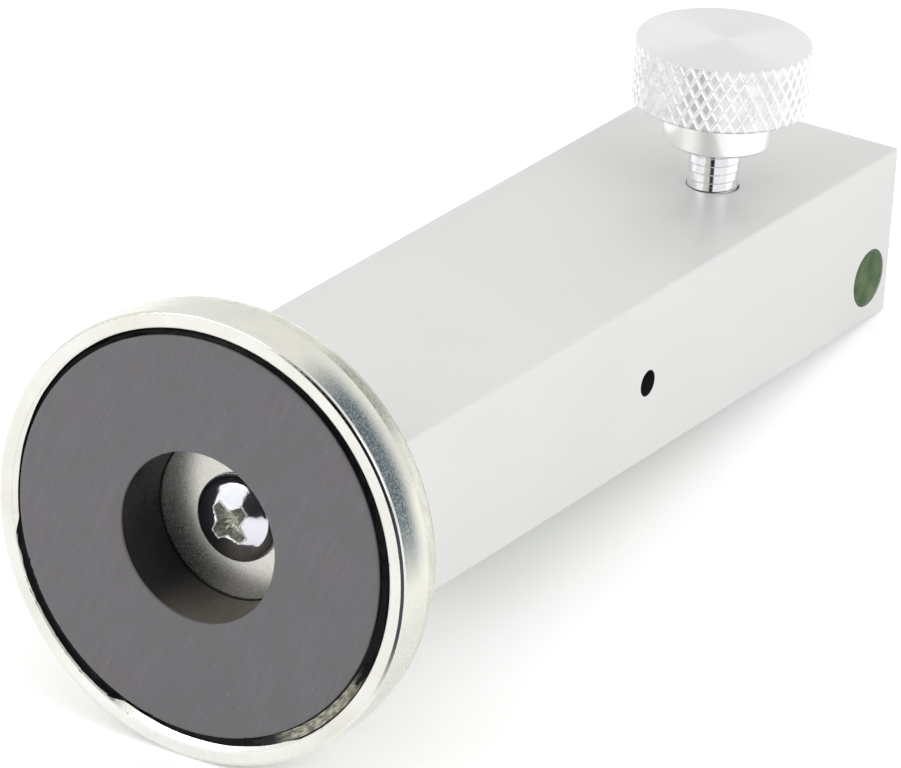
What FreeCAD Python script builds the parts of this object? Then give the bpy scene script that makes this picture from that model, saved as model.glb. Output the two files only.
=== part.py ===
import FreeCAD
import Part
import Sketcher
import math
import os

# Magnetic camber and caster gauge, in millimetres.
# The origin is the centre of the magnet's face. +X runs along the bar to its far end,
# +Z points to the thumb knob, and the face that is read looks to -Z.

SIZES = {
    # Aluminium bar
    "bar_length": 114,
    "bar_width": 30,
    "bar_height": 20,
    "bar_edge": 0.2,
    # Pot magnet: plated steel cup, ferrite ring and the adhesive between them
    "cup_radius": 25,
    "cup_depth": 10,
    "cup_wall": 1.73,
    "cup_floor": 2.2,
    "cup_lip": 0.27,
    "cup_back_round": 4.8,
    "glue_gap": 1.1,
    "ferrite_bore": 9.48,
    "ferrite_shift_y": 0.22,
    "ferrite_shift_z": 0.25,
    "glue_seam": 0.12,
    "glue_recess": 0.8,
    # Low pan head screw that holds the magnet to the bar
    "pan_radius": 4.9,
    "pan_height": 2.1,
    "pan_dome": 7.5,
    "bolt_radius": 2.5,
    "bolt_length": 16,
    "bolt_tip": 0.5,
    "bolt_room": 0.25,
    "bolt_hole_spare": 2,
    "recess_reach": 2.5,
    "recess_core": 0.8,
    "recess_slot": 1.15,
    "recess_depth": 1.5,
    # Thumb screw
    "stud_from_pivot": 32.4,
    "stud_side": 3.9,
    "stud_radius": 2.95,
    "stud_pitch": 1,
    "stud_thread_depth": 0.55,
    "stud_root_flat": 0.12,
    "thread_play": 0.05,
    "thread_mouth": 0.1,
    "spigot_radius": 1.25,
    "spigot_length": 1.2,
    "tip_radius": 2.4,
    "tip_height": 2.4,
    "tip_dome": 4,
    "tip_rest_gap": 0.1,
    "knob_rise": 5.4,
    "shoulder_radius": 6.15,
    "shoulder_height": 4.5,
    "shoulder_edge": 0.3,
    "grip_radius": 10,
    "grip_height": 7.6,
    "grip_bevel": 0.45,
    "knob_socket_depth": 8,
    # Tilting cradle and its pivot
    "pivot_from_bar": 58,
    "pivot_drop": 0.6,
    "pin_radius": 1.5,
    "pin_length": 19,
    "pin_recess": 1.8,
    "running_play": 0.05,
    "cradle_width": 9.6,
    "cradle_near_reach": 26,
    "cradle_past_stud": 4,
    "beam_above_pivot": 3.7,
    "beam_below_pivot": 1.8,
    "trough_end_wall": 1.2,
    "trough_grip": 1.25,
    # Slot that the cradle tilts in
    "slot_side_room": 0.4,
    "slot_end_room": 1.6,
    "slot_roof": 4,
    "slot_corner": 2,
    # Return spring
    "spring_from_end": 5.6,
    "spring_coil_radius": 2.1,
    "spring_wire": 0.5,
    "spring_turns": 4,
    "spring_seat_depth": 1,
    "spring_socket_depth": 1.2,
    "spring_side_room": 0.35,
    # Spirit vials
    "vial_radius": 3.2,
    "vial_wall": 0.8,
    "vial_closed_end": 1.2,
    "plug_length": 2.2,
    "bubble_half_length": 4.2,
    "bubble_height": 1.3,
    "bubble_half_width": 1.6,
    "caster_vial_length": 33,
    "caster_vial_below_pivot": 5.15,
    "vial_play": 0.05,
    "camber_vial_length": 38,
    "camber_side": 6.3,
    "camber_sink": 0.9,
    "camber_side_room": 0.3,
    "camber_end_room": 2.5,
    "camber_bed_under": 0.1,
    "camber_bed_lip": 0.5,
    "level_radius": 3.4,
    "level_length": 24,
    "level_from_end": 4.7,
    "level_drop": 4.6,
    "level_inset": 0.1,
    "level_window_width": 4.8,
    "level_window_length": 14,
    # Graduated strips beside the vials
    "strip_width": 3.6,
    "strip_thickness": 0.4,
    "strip_land": 0.9,
    "strip_play": 0.1,
    "caster_strip_length": 44,
    "camber_strip_length": 38,
    # How far a cutter runs past the face that it opens
    "overrun": 1,
}
RECESS_TURN_DEGREES = 44
THREAD_FLANK_SHARE = math.tan(math.radians(30))
TURNS = {
    "x": FreeCAD.Rotation(FreeCAD.Vector(0, 1, 0), 90),
    "y": FreeCAD.Rotation(FreeCAD.Vector(1, 0, 0), -90),
    "z": FreeCAD.Rotation(),
}

document = FreeCAD.newDocument("gauge")
parts = []


class Length:
    """A length worked out from the sheet: its present value, and the text that binds it."""

    def __init__(self, value, text):
        self.value = value
        self.text = text

    def joined(self, sign, other, value):
        return Length(value, "(%s %s %s)" % (self.text, sign, length(other).text))

    def __add__(self, other):
        return self.joined("+", other, self.value + length(other).value)

    def __sub__(self, other):
        return self.joined("-", other, self.value - length(other).value)

    def __mul__(self, other):
        return self.joined("*", other, self.value * length(other).value)

    def __truediv__(self, other):
        return self.joined("/", other, self.value / length(other).value)

    def __neg__(self):
        return length(0) - self

    def __float__(self):
        return float(self.value)


def length(number):
    """A Length as it is, or a plain number as a Length."""
    return number if isinstance(number, Length) else Length(number, repr(number))


class Sheet:
    """The spreadsheet of driving sizes. Each size is read as an attribute."""

    def __init__(self, sizes):
        self.page = document.addObject("Spreadsheet::Sheet", "Size")
        for row, (alias, value) in enumerate(sizes.items(), start=1):
            self.page.set("A%d" % row, alias.replace("_", " "))
            self.page.set("B%d" % row, str(value))
            self.page.setAlias("B%d" % row, alias)
        document.recompute()

    def __getattr__(self, alias):
        return Length(self.page.getPropertyByName(alias), "Size." + alias)


size = Sheet(SIZES)


def bind(item, sizes, at=(0, 0, 0), along="z"):
    """Bind an object's sizes and position to the sheet, with its Z axis turned along an axis."""
    item.Placement = FreeCAD.Placement(FreeCAD.Vector(), TURNS[along])
    for name, value in sizes.items():
        item.setExpression(name, length(value).text)
    for axis, value in zip("xyz", at):
        item.setExpression("Placement.Base." + axis, length(value).text)
    return item


def block(name, low, high, maker=document.addObject, kind="Part::Box"):
    """A box between two corners."""
    sizes = {key: length(b) - a for key, a, b in zip(("Length", "Width", "Height"), low, high)}
    return bind(maker(kind, name), sizes, low)


def rod(name, radius, height, at, along="z", maker=document.addObject, kind="Part::Cylinder"):
    """A cylinder from a point along an axis."""
    return bind(maker(kind, name), {"Radius": radius, "Height": height}, at, along)


def join(name, *items):
    """One solid from several that meet."""
    fuse = document.addObject("Part::MultiFuse", name)
    fuse.Shapes = list(items)
    return fuse


def cut(name, base, *tools):
    """A solid with others taken out of it."""
    result = document.addObject("Part::Cut", name)
    result.Base = base
    result.Tool = tools[0] if len(tools) == 1 else join(name + "_tools", *tools)
    return result


def common(name, first, second):
    """What two solids share."""
    result = document.addObject("Part::Common", name)
    result.Base = first
    result.Tool = second
    return result


def finish(item, label):
    """Name a sub-part and keep it for export."""
    item.Label = label
    parts.append(item)
    return item


def origin_feature(body, role):
    """One of a body's own origin planes or axes."""
    return next(feature for feature in body.Origin.OriginFeatures if feature.Role == role)


def outline_sketch(body, name, outline):
    """A closed outline of (radius, height) points on the body's XZ plane, each point bound."""
    sketch = body.newObject("Sketcher::SketchObject", name)
    sketch.AttachmentSupport = [(origin_feature(body, "XZ_Plane"), "")]
    sketch.MapMode = "FlatFace"
    points = [(length(radius), length(height)) for radius, height in outline]
    corners = [FreeCAD.Vector(float(radius), float(height), 0) for radius, height in points]
    for index, corner in enumerate(corners):
        after = corners[(index + 1) % len(corners)]
        sketch.addGeometry(Part.LineSegment(corner, after), False)
    for index in range(len(corners)):
        after = (index + 1) % len(corners)
        sketch.addConstraint(Sketcher.Constraint("Coincident", index, 2, after, 1))
    for index, point in enumerate(points):
        for kind, axis, value in zip(("DistanceX", "DistanceY"), (-2, -1), point):
            if value.text == "0":
                sketch.addConstraint(Sketcher.Constraint("PointOnObject", index, 1, axis))
            else:
                rule = Sketcher.Constraint(kind, -1, 1, index, 1, float(value))
                number = sketch.addConstraint(rule)
                sketch.setExpression("Constraints[%d]" % number, value.text)
    return sketch


def turned_feature(body, kind, name, outline):
    """A revolution or a groove about the body's Z axis."""
    sketch = outline_sketch(body, name + "_outline", outline)
    feature = body.newObject(kind, name)
    feature.Profile = sketch
    feature.ReferenceAxis = (sketch, ["V_Axis"])
    feature.Angle = 360
    document.recompute()
    return feature


def turned(name, outline, at, along="z"):
    """A body turned from an outline of (radius, height) points, set with its axis along one."""
    body = document.addObject("PartDesign::Body", name)
    turned_feature(body, "PartDesign::Revolution", name + "_turning", outline)
    return bind(body, {}, at, along)


def edges_where(feature, test):
    """The names of a feature's edges whose middle passes a test."""
    names = []
    for index, edge in enumerate(feature.Shape.Edges, start=1):
        middle = edge.valueAt((edge.FirstParameter + edge.LastParameter) / 2)
        if test(edge, middle):
            names.append("Edge%d" % index)
    return names


def near(first, second):
    """Whether two lengths are the same."""
    return math.isclose(float(first), float(second), rel_tol=1e-6, abs_tol=1e-6)


# Places that several pieces share
bar_near = size.cup_depth
bar_far = size.cup_depth + size.bar_length
top = size.bar_height / 2
read_face = -top
side_face = -size.bar_width / 2
cup_inside = size.cup_radius - size.cup_wall
ferrite_radius = cup_inside - size.glue_gap
pivot_x = bar_near + size.pivot_from_bar
pivot_z = -size.pivot_drop
stud_x = pivot_x + size.stud_from_pivot
stud_y = -size.stud_side
slot_ceiling = top - size.slot_roof
cradle_top = pivot_z + size.beam_above_pivot
cradle_near = pivot_x - size.cradle_near_reach
cradle_far = stud_x + size.cradle_past_stud
spring_x = cradle_near + size.spring_from_end
spring_seat = cradle_top - size.spring_seat_depth
spring_ceiling = slot_ceiling + size.spring_socket_depth
spring_room = size.spring_coil_radius + size.spring_wire / 2 + size.spring_side_room
caster_vial_z = pivot_z - size.caster_vial_below_pivot
camber_y = size.camber_side
camber_vial_z = read_face + size.camber_sink + size.vial_radius
camber_slot_floor = camber_vial_z + size.vial_radius + size.camber_bed_under
camber_slot_radius = size.vial_radius + size.camber_side_room
camber_slot_half = size.camber_vial_length / 2 + size.camber_end_room
level_x = bar_far - size.level_from_end
level_z = -size.level_drop
level_start = side_face + size.level_inset
slot_half_width = size.cradle_width / 2 + size.slot_side_room
caster_strip_y = stud_y - slot_half_width - size.strip_land - size.strip_width
camber_strip_y = camber_y + camber_slot_radius + size.strip_land
stud_end = cradle_top + size.tip_rest_gap + size.tip_height
shoulder_z = top + size.knob_rise


def obround(name, x_half, radius, low, high, maker, cylinder_kind, box_kind):
    """A slot with round ends over the camber vial, from one height to another."""
    straight = x_half - radius
    for end, x in (("_near_end", pivot_x - straight), ("_far_end", pivot_x + straight)):
        rod(name + end, radius, high - low, (x, camber_y, low), "z", maker, cylinder_kind)
    block(
        name + "_middle",
        (pivot_x - straight, camber_y - radius, low),
        (pivot_x + straight, camber_y + radius, high),
        maker,
        box_kind,
    )


def gauge_body():
    """The bar: chamfered block, milled slots, window, bores and tapped holes."""
    body = document.addObject("PartDesign::Body", "gauge_body")
    add = body.newObject
    low = (bar_near, side_face, read_face)
    high = (bar_far, size.bar_width / 2, top)
    blank = block("bar_blank", low, high, add, "PartDesign::AdditiveBox")
    document.recompute()
    edges = add("PartDesign::Chamfer", "bar_edges")
    edges.Base = (blank, edges_where(blank, lambda edge, middle: True))
    edges.setExpression("Size", size.bar_edge.text)
    document.recompute()

    slot_low = (
        cradle_near - size.slot_end_room,
        stud_y - slot_half_width,
        read_face - size.overrun,
    )
    slot_high = (
        cradle_far + size.slot_end_room,
        stud_y + slot_half_width,
        slot_ceiling,
    )
    slot = block("caster_slot", slot_low, slot_high, add, "PartDesign::SubtractiveBox")
    document.recompute()
    ends = (float(slot_low[0]), float(slot_high[0]))
    sides = (float(slot_low[1]), float(slot_high[1]))

    def is_slot_corner(edge, middle):
        upright = near(edge.BoundBox.XLength, 0) and near(edge.BoundBox.YLength, 0)
        at_end = any(near(middle.x, x) for x in ends)
        return upright and at_end and any(near(middle.y, y) for y in sides)

    corners = add("PartDesign::Fillet", "caster_slot_corners")
    corners.Base = (slot, edges_where(slot, is_slot_corner))
    corners.setExpression("Radius", size.slot_corner.text)
    document.recompute()

    bore = "PartDesign::SubtractiveCylinder"
    box = "PartDesign::SubtractiveBox"
    rod("spring_socket", spring_room, size.spring_socket_depth + size.overrun,
        (spring_x, stud_y, slot_ceiling - size.overrun), "z", add, bore)
    obround("camber_slot", camber_slot_half, camber_slot_radius,
            read_face - size.overrun, camber_slot_floor, add, bore, box)
    rod("level_bore", size.level_radius + size.vial_play,
        size.level_inset + size.level_length + size.vial_play + size.overrun,
        (level_x, side_face - size.overrun, level_z), "y", add, bore)
    window_middle = level_start + size.level_length / 2
    half_length = size.level_window_length / 2
    half_width = size.level_window_width / 2
    straight = half_length - half_width
    for name, y in (("left", window_middle - straight), ("right", window_middle + straight)):
        rod("level_window_" + name, half_width, size.overrun + level_z - read_face,
            (level_x, y, read_face - size.overrun), "z", add, bore)
    block("level_window_middle",
          (level_x - half_width, window_middle - straight, read_face - size.overrun),
          (level_x + half_width, window_middle + straight, level_z), add, box)
    rod("pivot_hole", size.pin_radius,
        size.overrun + size.pin_recess + size.pin_length + size.running_play,
        (pivot_x, side_face - size.overrun, pivot_z), "y", add, bore)
    rod("magnet_screw_hole", size.bolt_radius + size.thread_play,
        size.overrun + size.bolt_length - size.cup_floor + size.bolt_hole_spare,
        (bar_near - size.overrun, 0, 0), "x", add, bore)
    rod("thumb_screw_hole", size.stud_radius + size.thread_play, size.slot_roof + size.overrun * 2,
        (stud_x, stud_y, slot_ceiling - size.overrun), "z", add, bore)
    mouth = bind(add("PartDesign::SubtractiveCone", "thumb_screw_mouth"), {
        "Radius1": size.stud_radius + size.thread_play,
        "Radius2": size.stud_radius + size.thread_play + size.thread_mouth,
        "Height": size.thread_mouth,
    }, (stud_x, stud_y, top - size.thread_mouth))
    document.recompute()

    for name, y, strip_length in (
        ("caster", caster_strip_y, size.caster_strip_length),
        ("camber", camber_strip_y, size.camber_strip_length),
    ):
        half_seat = strip_length / 2 + size.strip_play
        seat = block(
            name + "_strip_seat",
            (pivot_x - half_seat, y - size.strip_play, read_face - size.overrun),
            (
                pivot_x + half_seat,
                y + size.strip_width + size.strip_play,
                read_face + size.strip_thickness,
            ),
            add,
            box,
        )
    body.Tip = seat
    document.recompute()
    if not mouth.Shape.Volume > seat.Shape.Volume:
        raise ValueError("the strip seats cut nothing")
    return finish(body, "gauge_body")


def magnet_cup():
    """The cup: a deep dish with a flat rim, a rounded back and a hole for the screw."""
    hole = size.bolt_radius + size.bolt_room
    floor = size.cup_depth - size.cup_floor
    cup = turned("magnet_cup", [
        (hole, floor),
        (cup_inside, floor),
        (cup_inside, 0),
        (size.cup_radius - size.cup_lip, 0),
        (size.cup_radius, size.cup_lip),
        (size.cup_radius, size.cup_depth),
        (hole, size.cup_depth),
    ], (0, 0, 0), "x")
    turning = cup.Tip

    def is_back_edge(edge, middle):
        radius = math.hypot(middle.x, middle.y)
        return near(radius, size.cup_radius) and near(middle.z, size.cup_depth)

    rounding = cup.newObject("PartDesign::Fillet", "cup_back_rounding")
    rounding.Base = (turning, edges_where(turning, is_back_edge))
    rounding.setExpression("Radius", size.cup_back_round.text)
    document.recompute()
    return finish(cup, "magnet_cup")


def ferrite_and_bond():
    """The ferrite ring, set a little off centre, and the adhesive under and around it."""
    floor = size.cup_depth - size.cup_floor
    centre = (size.ferrite_shift_y, size.ferrite_shift_z)
    thickness = floor - size.glue_seam
    ring = cut(
        "ferrite_ring",
        rod("ferrite_disc", ferrite_radius, thickness, (0, *centre), "x"),
        rod("ferrite_hole", size.ferrite_bore, thickness + size.overrun * 2,
            (-size.overrun, *centre), "x"),
    )
    bond = cut(
        "bonding_ring",
        rod("bond_fill", cup_inside, floor - size.glue_recess, (size.glue_recess, 0, 0), "x"),
        rod("bond_seat", ferrite_radius, thickness + size.overrun, (-size.overrun, *centre), "x"),
        rod("bond_hole", size.ferrite_bore, floor + size.overrun * 2,
            (-size.overrun, *centre), "x"),
    )
    finish(ring, "ferrite_ring")
    finish(bond, "bonding_ring")


def magnet_screw():
    """The low pan head screw: domed head with a cross recess, and a plain shank."""
    seat = size.cup_depth - size.cup_floor
    face = seat - size.pan_height
    head = common(
        "pan_head",
        rod("pan_blank", size.pan_radius, size.overrun + size.pan_height,
            (face - size.overrun, 0, 0), "x"),
        bind(document.addObject("Part::Sphere", "pan_dome"), {"Radius": size.pan_dome},
             (face + size.pan_dome, 0, 0)),
    )
    shank = rod("bolt_shank", size.bolt_radius, size.bolt_length - size.bolt_tip, (seat, 0, 0), "x")
    tip = bind(document.addObject("Part::Cone", "bolt_tip"), {
        "Radius1": size.bolt_radius,
        "Radius2": size.bolt_radius - size.bolt_tip,
        "Height": size.bolt_tip,
    }, (seat + size.bolt_length - size.bolt_tip, 0, 0), "x")
    arms = []
    for number in range(2):
        arm = block(
            "recess_arm_%d" % number,
            (face - size.overrun, -size.recess_reach - size.overrun, -size.recess_slot / 2),
            (face + size.recess_depth, size.recess_reach + size.overrun, size.recess_slot / 2),
        )
        holder = document.addObject("Part::Compound", "recess_arm_%d_turned" % number)
        holder.Links = [arm]
        turn = FreeCAD.Rotation(FreeCAD.Vector(1, 0, 0), RECESS_TURN_DEGREES + 90 * number)
        holder.Placement = FreeCAD.Placement(FreeCAD.Vector(), turn)
        arms.append(holder)
    cone = bind(document.addObject("Part::Cone", "recess_cone"), {
        "Radius1": size.recess_reach,
        "Radius2": size.recess_core,
        "Height": size.recess_depth,
    }, (face, 0, 0), "x")
    recess = common("recess", join("recess_arms", *arms), cone)
    finish(cut("magnet_screw", join("screw_blank", head, shank, tip), recess), "magnet_screw")


def thumb_knob():
    """The knob: knurled grip over a plain shoulder, with a blind socket for the stud."""
    grip_low = size.shoulder_height
    grip_high = size.shoulder_height + size.grip_height
    knob = turned("thumb_knob", [
        (size.stud_radius, 0),
        (size.shoulder_radius - size.shoulder_edge, 0),
        (size.shoulder_radius, size.shoulder_edge),
        (size.shoulder_radius, grip_low),
        (size.grip_radius - size.grip_bevel, grip_low),
        (size.grip_radius, grip_low + size.grip_bevel),
        (size.grip_radius, grip_high - size.grip_bevel),
        (size.grip_radius - size.grip_bevel, grip_high),
        (0, grip_high),
        (0, size.knob_socket_depth),
        (size.stud_radius, size.knob_socket_depth),
    ], (stud_x, stud_y, shoulder_z))
    finish(knob, "thumb_knob")


def thumb_stud():
    """The stud: a threaded rod with a spigot for the tip. Its thread is drawn as rings."""
    threaded = shoulder_z - stud_end
    spigot = size.spigot_length
    stud = turned("thumb_stud", [
        (0, 0),
        (size.spigot_radius, 0),
        (size.spigot_radius, spigot),
        (size.stud_radius, spigot),
        (size.stud_radius, spigot + threaded + size.knob_socket_depth),
        (0, spigot + threaded + size.knob_socket_depth),
    ], (stud_x, stud_y, stud_end - spigot))
    plain_volume = stud.Tip.Shape.Volume
    middle = spigot + size.stud_pitch / 2
    root = size.stud_radius - size.stud_thread_depth
    half_root = size.stud_root_flat / 2
    outer = size.stud_radius + size.thread_play
    half_mouth = half_root + (size.stud_thread_depth + size.thread_play) * THREAD_FLANK_SHARE
    groove = turned_feature(stud, "PartDesign::Groove", "stud_groove", [
        (root, middle - half_root),
        (root, middle + half_root),
        (outer, middle + half_mouth),
        (outer, middle - half_mouth),
    ])
    rings = threaded / size.stud_pitch
    rings = Length(math.floor(rings.value), "floor(%s)" % rings.text)
    thread = stud.newObject("PartDesign::LinearPattern", "stud_thread")
    thread.Originals = [groove]
    thread.Direction = (origin_feature(stud, "Z_Axis"), [""])
    thread.setExpression("Occurrences", rings.text)
    thread.setExpression("Length", ((rings - 1) * size.stud_pitch).text)
    stud.Tip = thread
    document.recompute()
    if not thread.Shape.Volume < groove.Shape.Volume < plain_volume:
        raise ValueError("the thread's grooves cut nothing")
    finish(stud, "thumb_stud")


def screw_tip():
    """The tip that stays still while the stud turns in it, and presses on the cradle."""
    apex = cradle_top + size.tip_rest_gap
    spigot_z = stud_end - size.spigot_length - size.running_play
    dome = common(
        "tip_blank",
        rod("tip_rod", size.tip_radius, size.overrun + size.tip_height - size.running_play,
            (stud_x, stud_y, apex - size.overrun)),
        bind(document.addObject("Part::Sphere", "tip_dome"), {"Radius": size.tip_dome},
             (stud_x, stud_y, apex + size.tip_dome)),
    )
    socket = rod("tip_socket", size.spigot_radius + size.running_play,
                 size.spigot_length + size.overrun, (stud_x, stud_y, spigot_z))
    finish(cut("screw_tip", dome, socket), "screw_tip")


def caster_cradle():
    """The cradle: a beam on the pivot with a trough for the vial under it."""
    half_width = size.cradle_width / 2
    half_trough = size.caster_vial_length / 2 + size.vial_play + size.trough_end_wall
    beam = block(
        "cradle_beam",
        (cradle_near, stud_y - half_width, pivot_z - size.beam_below_pivot),
        (cradle_far, stud_y + half_width, cradle_top),
    )
    trough = block(
        "cradle_trough",
        (pivot_x - half_trough, stud_y - half_width, caster_vial_z - size.trough_grip),
        (pivot_x + half_trough, stud_y + half_width, pivot_z),
    )
    vial_bore = rod(
        "cradle_vial_bore", size.vial_radius + size.vial_play,
        size.caster_vial_length + size.vial_play * 2,
        (pivot_x - size.caster_vial_length / 2 - size.vial_play, stud_y, caster_vial_z), "x",
    )
    pin_bore = rod(
        "cradle_pin_bore", size.pin_radius + size.running_play, size.cradle_width + size.overrun * 2,
        (pivot_x, stud_y - half_width - size.overrun, pivot_z), "y",
    )
    seat = rod("cradle_spring_seat", spring_room, size.spring_seat_depth + size.overrun,
               (spring_x, stud_y, spring_seat))
    blank = join("cradle_blank", beam, trough)
    finish(cut("caster_cradle", blank, vial_bore, pin_bore, seat), "caster_cradle")


def pivot_pin():
    """The pin that the cradle tilts on, pressed into the bar from its side."""
    pin = rod("pivot_pin", size.pin_radius, size.pin_length,
              (pivot_x, side_face + size.pin_recess, pivot_z), "y")
    finish(pin, "pivot_pin")


def vial(label, radius, vial_length, start, along, plug_first=True):
    """A spirit vial: tube with one closed end, plug in the other, and liquid with its bubble."""
    step = {"x": (1, 0, 0), "y": (0, 1, 0)}[along]
    inside = radius - size.vial_wall
    hollow = vial_length - size.vial_closed_end
    wet = hollow - size.plug_length

    def piece(name, piece_radius, distance, piece_length):
        low = length(distance) if plug_first else vial_length - distance - piece_length
        return rod(label + name, piece_radius, piece_length,
                   tuple(length(place) + low * share for place, share in zip(start, step)), along)

    tube = cut(
        label + "_tube",
        piece("_glass", radius, 0, vial_length),
        piece("_hollow", inside, -size.overrun, hollow + size.overrun),
    )
    plug = piece("_plug", inside, 0, size.plug_length)
    fill = piece("_fill", inside, size.plug_length, wet)
    middle = size.plug_length + wet / 2 if plug_first else size.vial_closed_end + wet / 2
    centre = [length(place) + middle * share for place, share in zip(start, step)]
    widths = {"x": ("Radius2", "Radius3"), "y": ("Radius3", "Radius2")}[along]
    bubble = bind(document.addObject("Part::Ellipsoid", label + "_bubble"), {
        "Radius1": size.bubble_height,
        widths[0]: size.bubble_half_length,
        widths[1]: size.bubble_half_width,
    }, (centre[0], centre[1], centre[2] + inside))
    bubble.Angle1 = -90
    bubble.Angle2 = 90
    bubble.Angle3 = 360
    finish(tube, label + "_tube")
    finish(plug, label + "_plug")
    finish(cut(label + "_liquid", fill, bubble), label + "_liquid")


def camber_bed():
    """The setting compound that holds the camber vial in its slot."""
    low = camber_vial_z - size.camber_bed_lip
    fill = []

    def collect(kind, name):
        item = document.addObject(kind, name)
        fill.append(item)
        return item

    obround("camber_fill", camber_slot_half, camber_slot_radius, low, camber_slot_floor,
            collect, "Part::Cylinder", "Part::Box")
    groove = rod("camber_bed_groove", size.vial_radius, size.camber_vial_length,
                 (pivot_x - size.camber_vial_length / 2, camber_y, camber_vial_z), "x")
    finish(cut("camber_bed", join("camber_bed_blank", *fill), groove), "camber_bed")


def strip(label, y, strip_length):
    """A thin graduated strip in its seat on the face that is read."""
    plate = block(
        label,
        (pivot_x - strip_length / 2, y, read_face),
        (pivot_x + strip_length / 2, y + size.strip_width, read_face + size.strip_thickness),
    )
    finish(plate, label)


def biarc(start, start_way, end, end_way):
    """Two arcs that leave one point and reach another along given directions."""
    chord = end - start
    ways = start_way + end_way
    square = 2 * (1 - start_way.dot(end_way))
    across = chord.dot(ways)
    reach = (math.sqrt(across * across + square * chord.dot(chord)) - across) / square
    first = start + start_way * reach
    second = end - end_way * reach
    joint = (first + second) / 2
    return [arc_past(start, first, joint), arc_past(joint, second, end)]


def arc_past(start, corner, end):
    """The arc from start to end that is tangent to the lines through a corner."""
    middle = (start + end) / 2
    half_chord = (end - start).Length / 2
    rise = (corner - middle).Length
    half_turn = math.atan2(rise, half_chord)
    way = (corner - middle).normalize()
    return Part.Arc(start, middle + way * (half_chord * math.tan(half_turn / 2)), end).toShape()


def return_spring():
    """The spring between the bar and the cradle: one round wire in even turns."""
    wire_radius = float(size.spring_wire) / 2
    radius = float(size.spring_coil_radius)
    turns = int(float(size.spring_turns))
    play = float(size.running_play)
    low = float(spring_seat) + wire_radius + play
    rise = float(spring_ceiling) - wire_radius - play - low
    pitch = rise / turns
    slope = pitch / (2 * math.pi)
    quarters = 4 * turns
    points = []
    for number in range(quarters + 1):
        angle = number * math.pi / 2
        place = FreeCAD.Vector(radius * math.cos(angle), radius * math.sin(angle), slope * angle)
        way = FreeCAD.Vector(-radius * math.sin(angle), radius * math.cos(angle), slope).normalize()
        points.append((place, way))
    lead = float(size.spring_wire)
    first, first_way = points[0]
    last, last_way = points[-1]
    edges = [Part.LineSegment(first - first_way * lead, first).toShape()]
    for (start, start_way), (end, end_way) in zip(points, points[1:]):
        edges += biarc(start, start_way, end, end_way)
    edges.append(Part.LineSegment(last, last + last_way * lead).toShape())
    path = Part.Wire(edges)
    section = Part.Wire(Part.makeCircle(wire_radius, first - first_way * lead, first_way))
    pipe = Part.BRepOffsetAPI.MakePipeShell(path)
    pipe.add(section)
    pipe.build()
    pipe.makeSolid()
    solid = pipe.shape()
    gap = pitch * math.cos(math.atan2(slope, radius)) - 2 * wire_radius
    expected = math.pi * wire_radius ** 2 * path.Length
    print("spring gap between turns %.2f, volume %.2f against %.2f" % (gap, solid.Volume, expected))
    spring = document.addObject("Part::Feature", "return_spring")
    spring.Shape = solid
    base = FreeCAD.Vector(float(spring_x), float(stud_y), low)
    spring.Placement = FreeCAD.Placement(base, FreeCAD.Rotation())
    finish(spring, "return_spring")


def check_and_export():
    """Stop at a failed object or a bad shape, then write each sub-part."""
    document.recompute()
    for item in document.Objects:
        if {"Invalid", "Error"} & set(item.State):
            raise ValueError("%s failed: %s" % (item.Name, item.State))
    for item in parts:
        if item.Shape.isNull() or not item.Shape.isValid() or not item.Shape.Solids:
            raise ValueError("%s has a bad shape" % item.Label)
    os.makedirs("parts", exist_ok=True)
    for item in parts:
        item.Shape.exportStep("parts/%s.step" % item.Label)
        print("%s: %d solid, volume %.2f" % (item.Label, len(item.Shape.Solids), item.Shape.Volume))


def main():
    gauge_body()
    magnet_cup()
    ferrite_and_bond()
    magnet_screw()
    thumb_knob()
    thumb_stud()
    screw_tip()
    caster_cradle()
    pivot_pin()
    return_spring()
    vial("caster_vial", size.vial_radius, size.caster_vial_length,
         (pivot_x - size.caster_vial_length / 2, stud_y, caster_vial_z), "x")
    vial("camber_vial", size.vial_radius, size.camber_vial_length,
         (pivot_x - size.camber_vial_length / 2, camber_y, camber_vial_z), "x")
    vial("level_vial", size.level_radius, size.level_length,
         (level_x, level_start, level_z), "y", plug_first=False)
    camber_bed()
    strip("caster_strip", caster_strip_y, size.caster_strip_length)
    strip("camber_strip", camber_strip_y, size.camber_strip_length)
    check_and_export()


main()
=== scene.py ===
"""Magnetic camber and caster gauge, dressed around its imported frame.

The frame's origin is the centre of the magnet's face. +X runs along the bar, +Z points to the thumb
knob, and the face that is read looks to -Z. Meshes are drawn in millimetres and placed in metres.
"""

from __future__ import annotations

import logging
import math
import random
from dataclasses import dataclass, field
from enum import Enum
from typing import Callable, Optional, Sequence, Union

import bmesh
import bpy
from mathutils import Matrix, Vector

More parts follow.
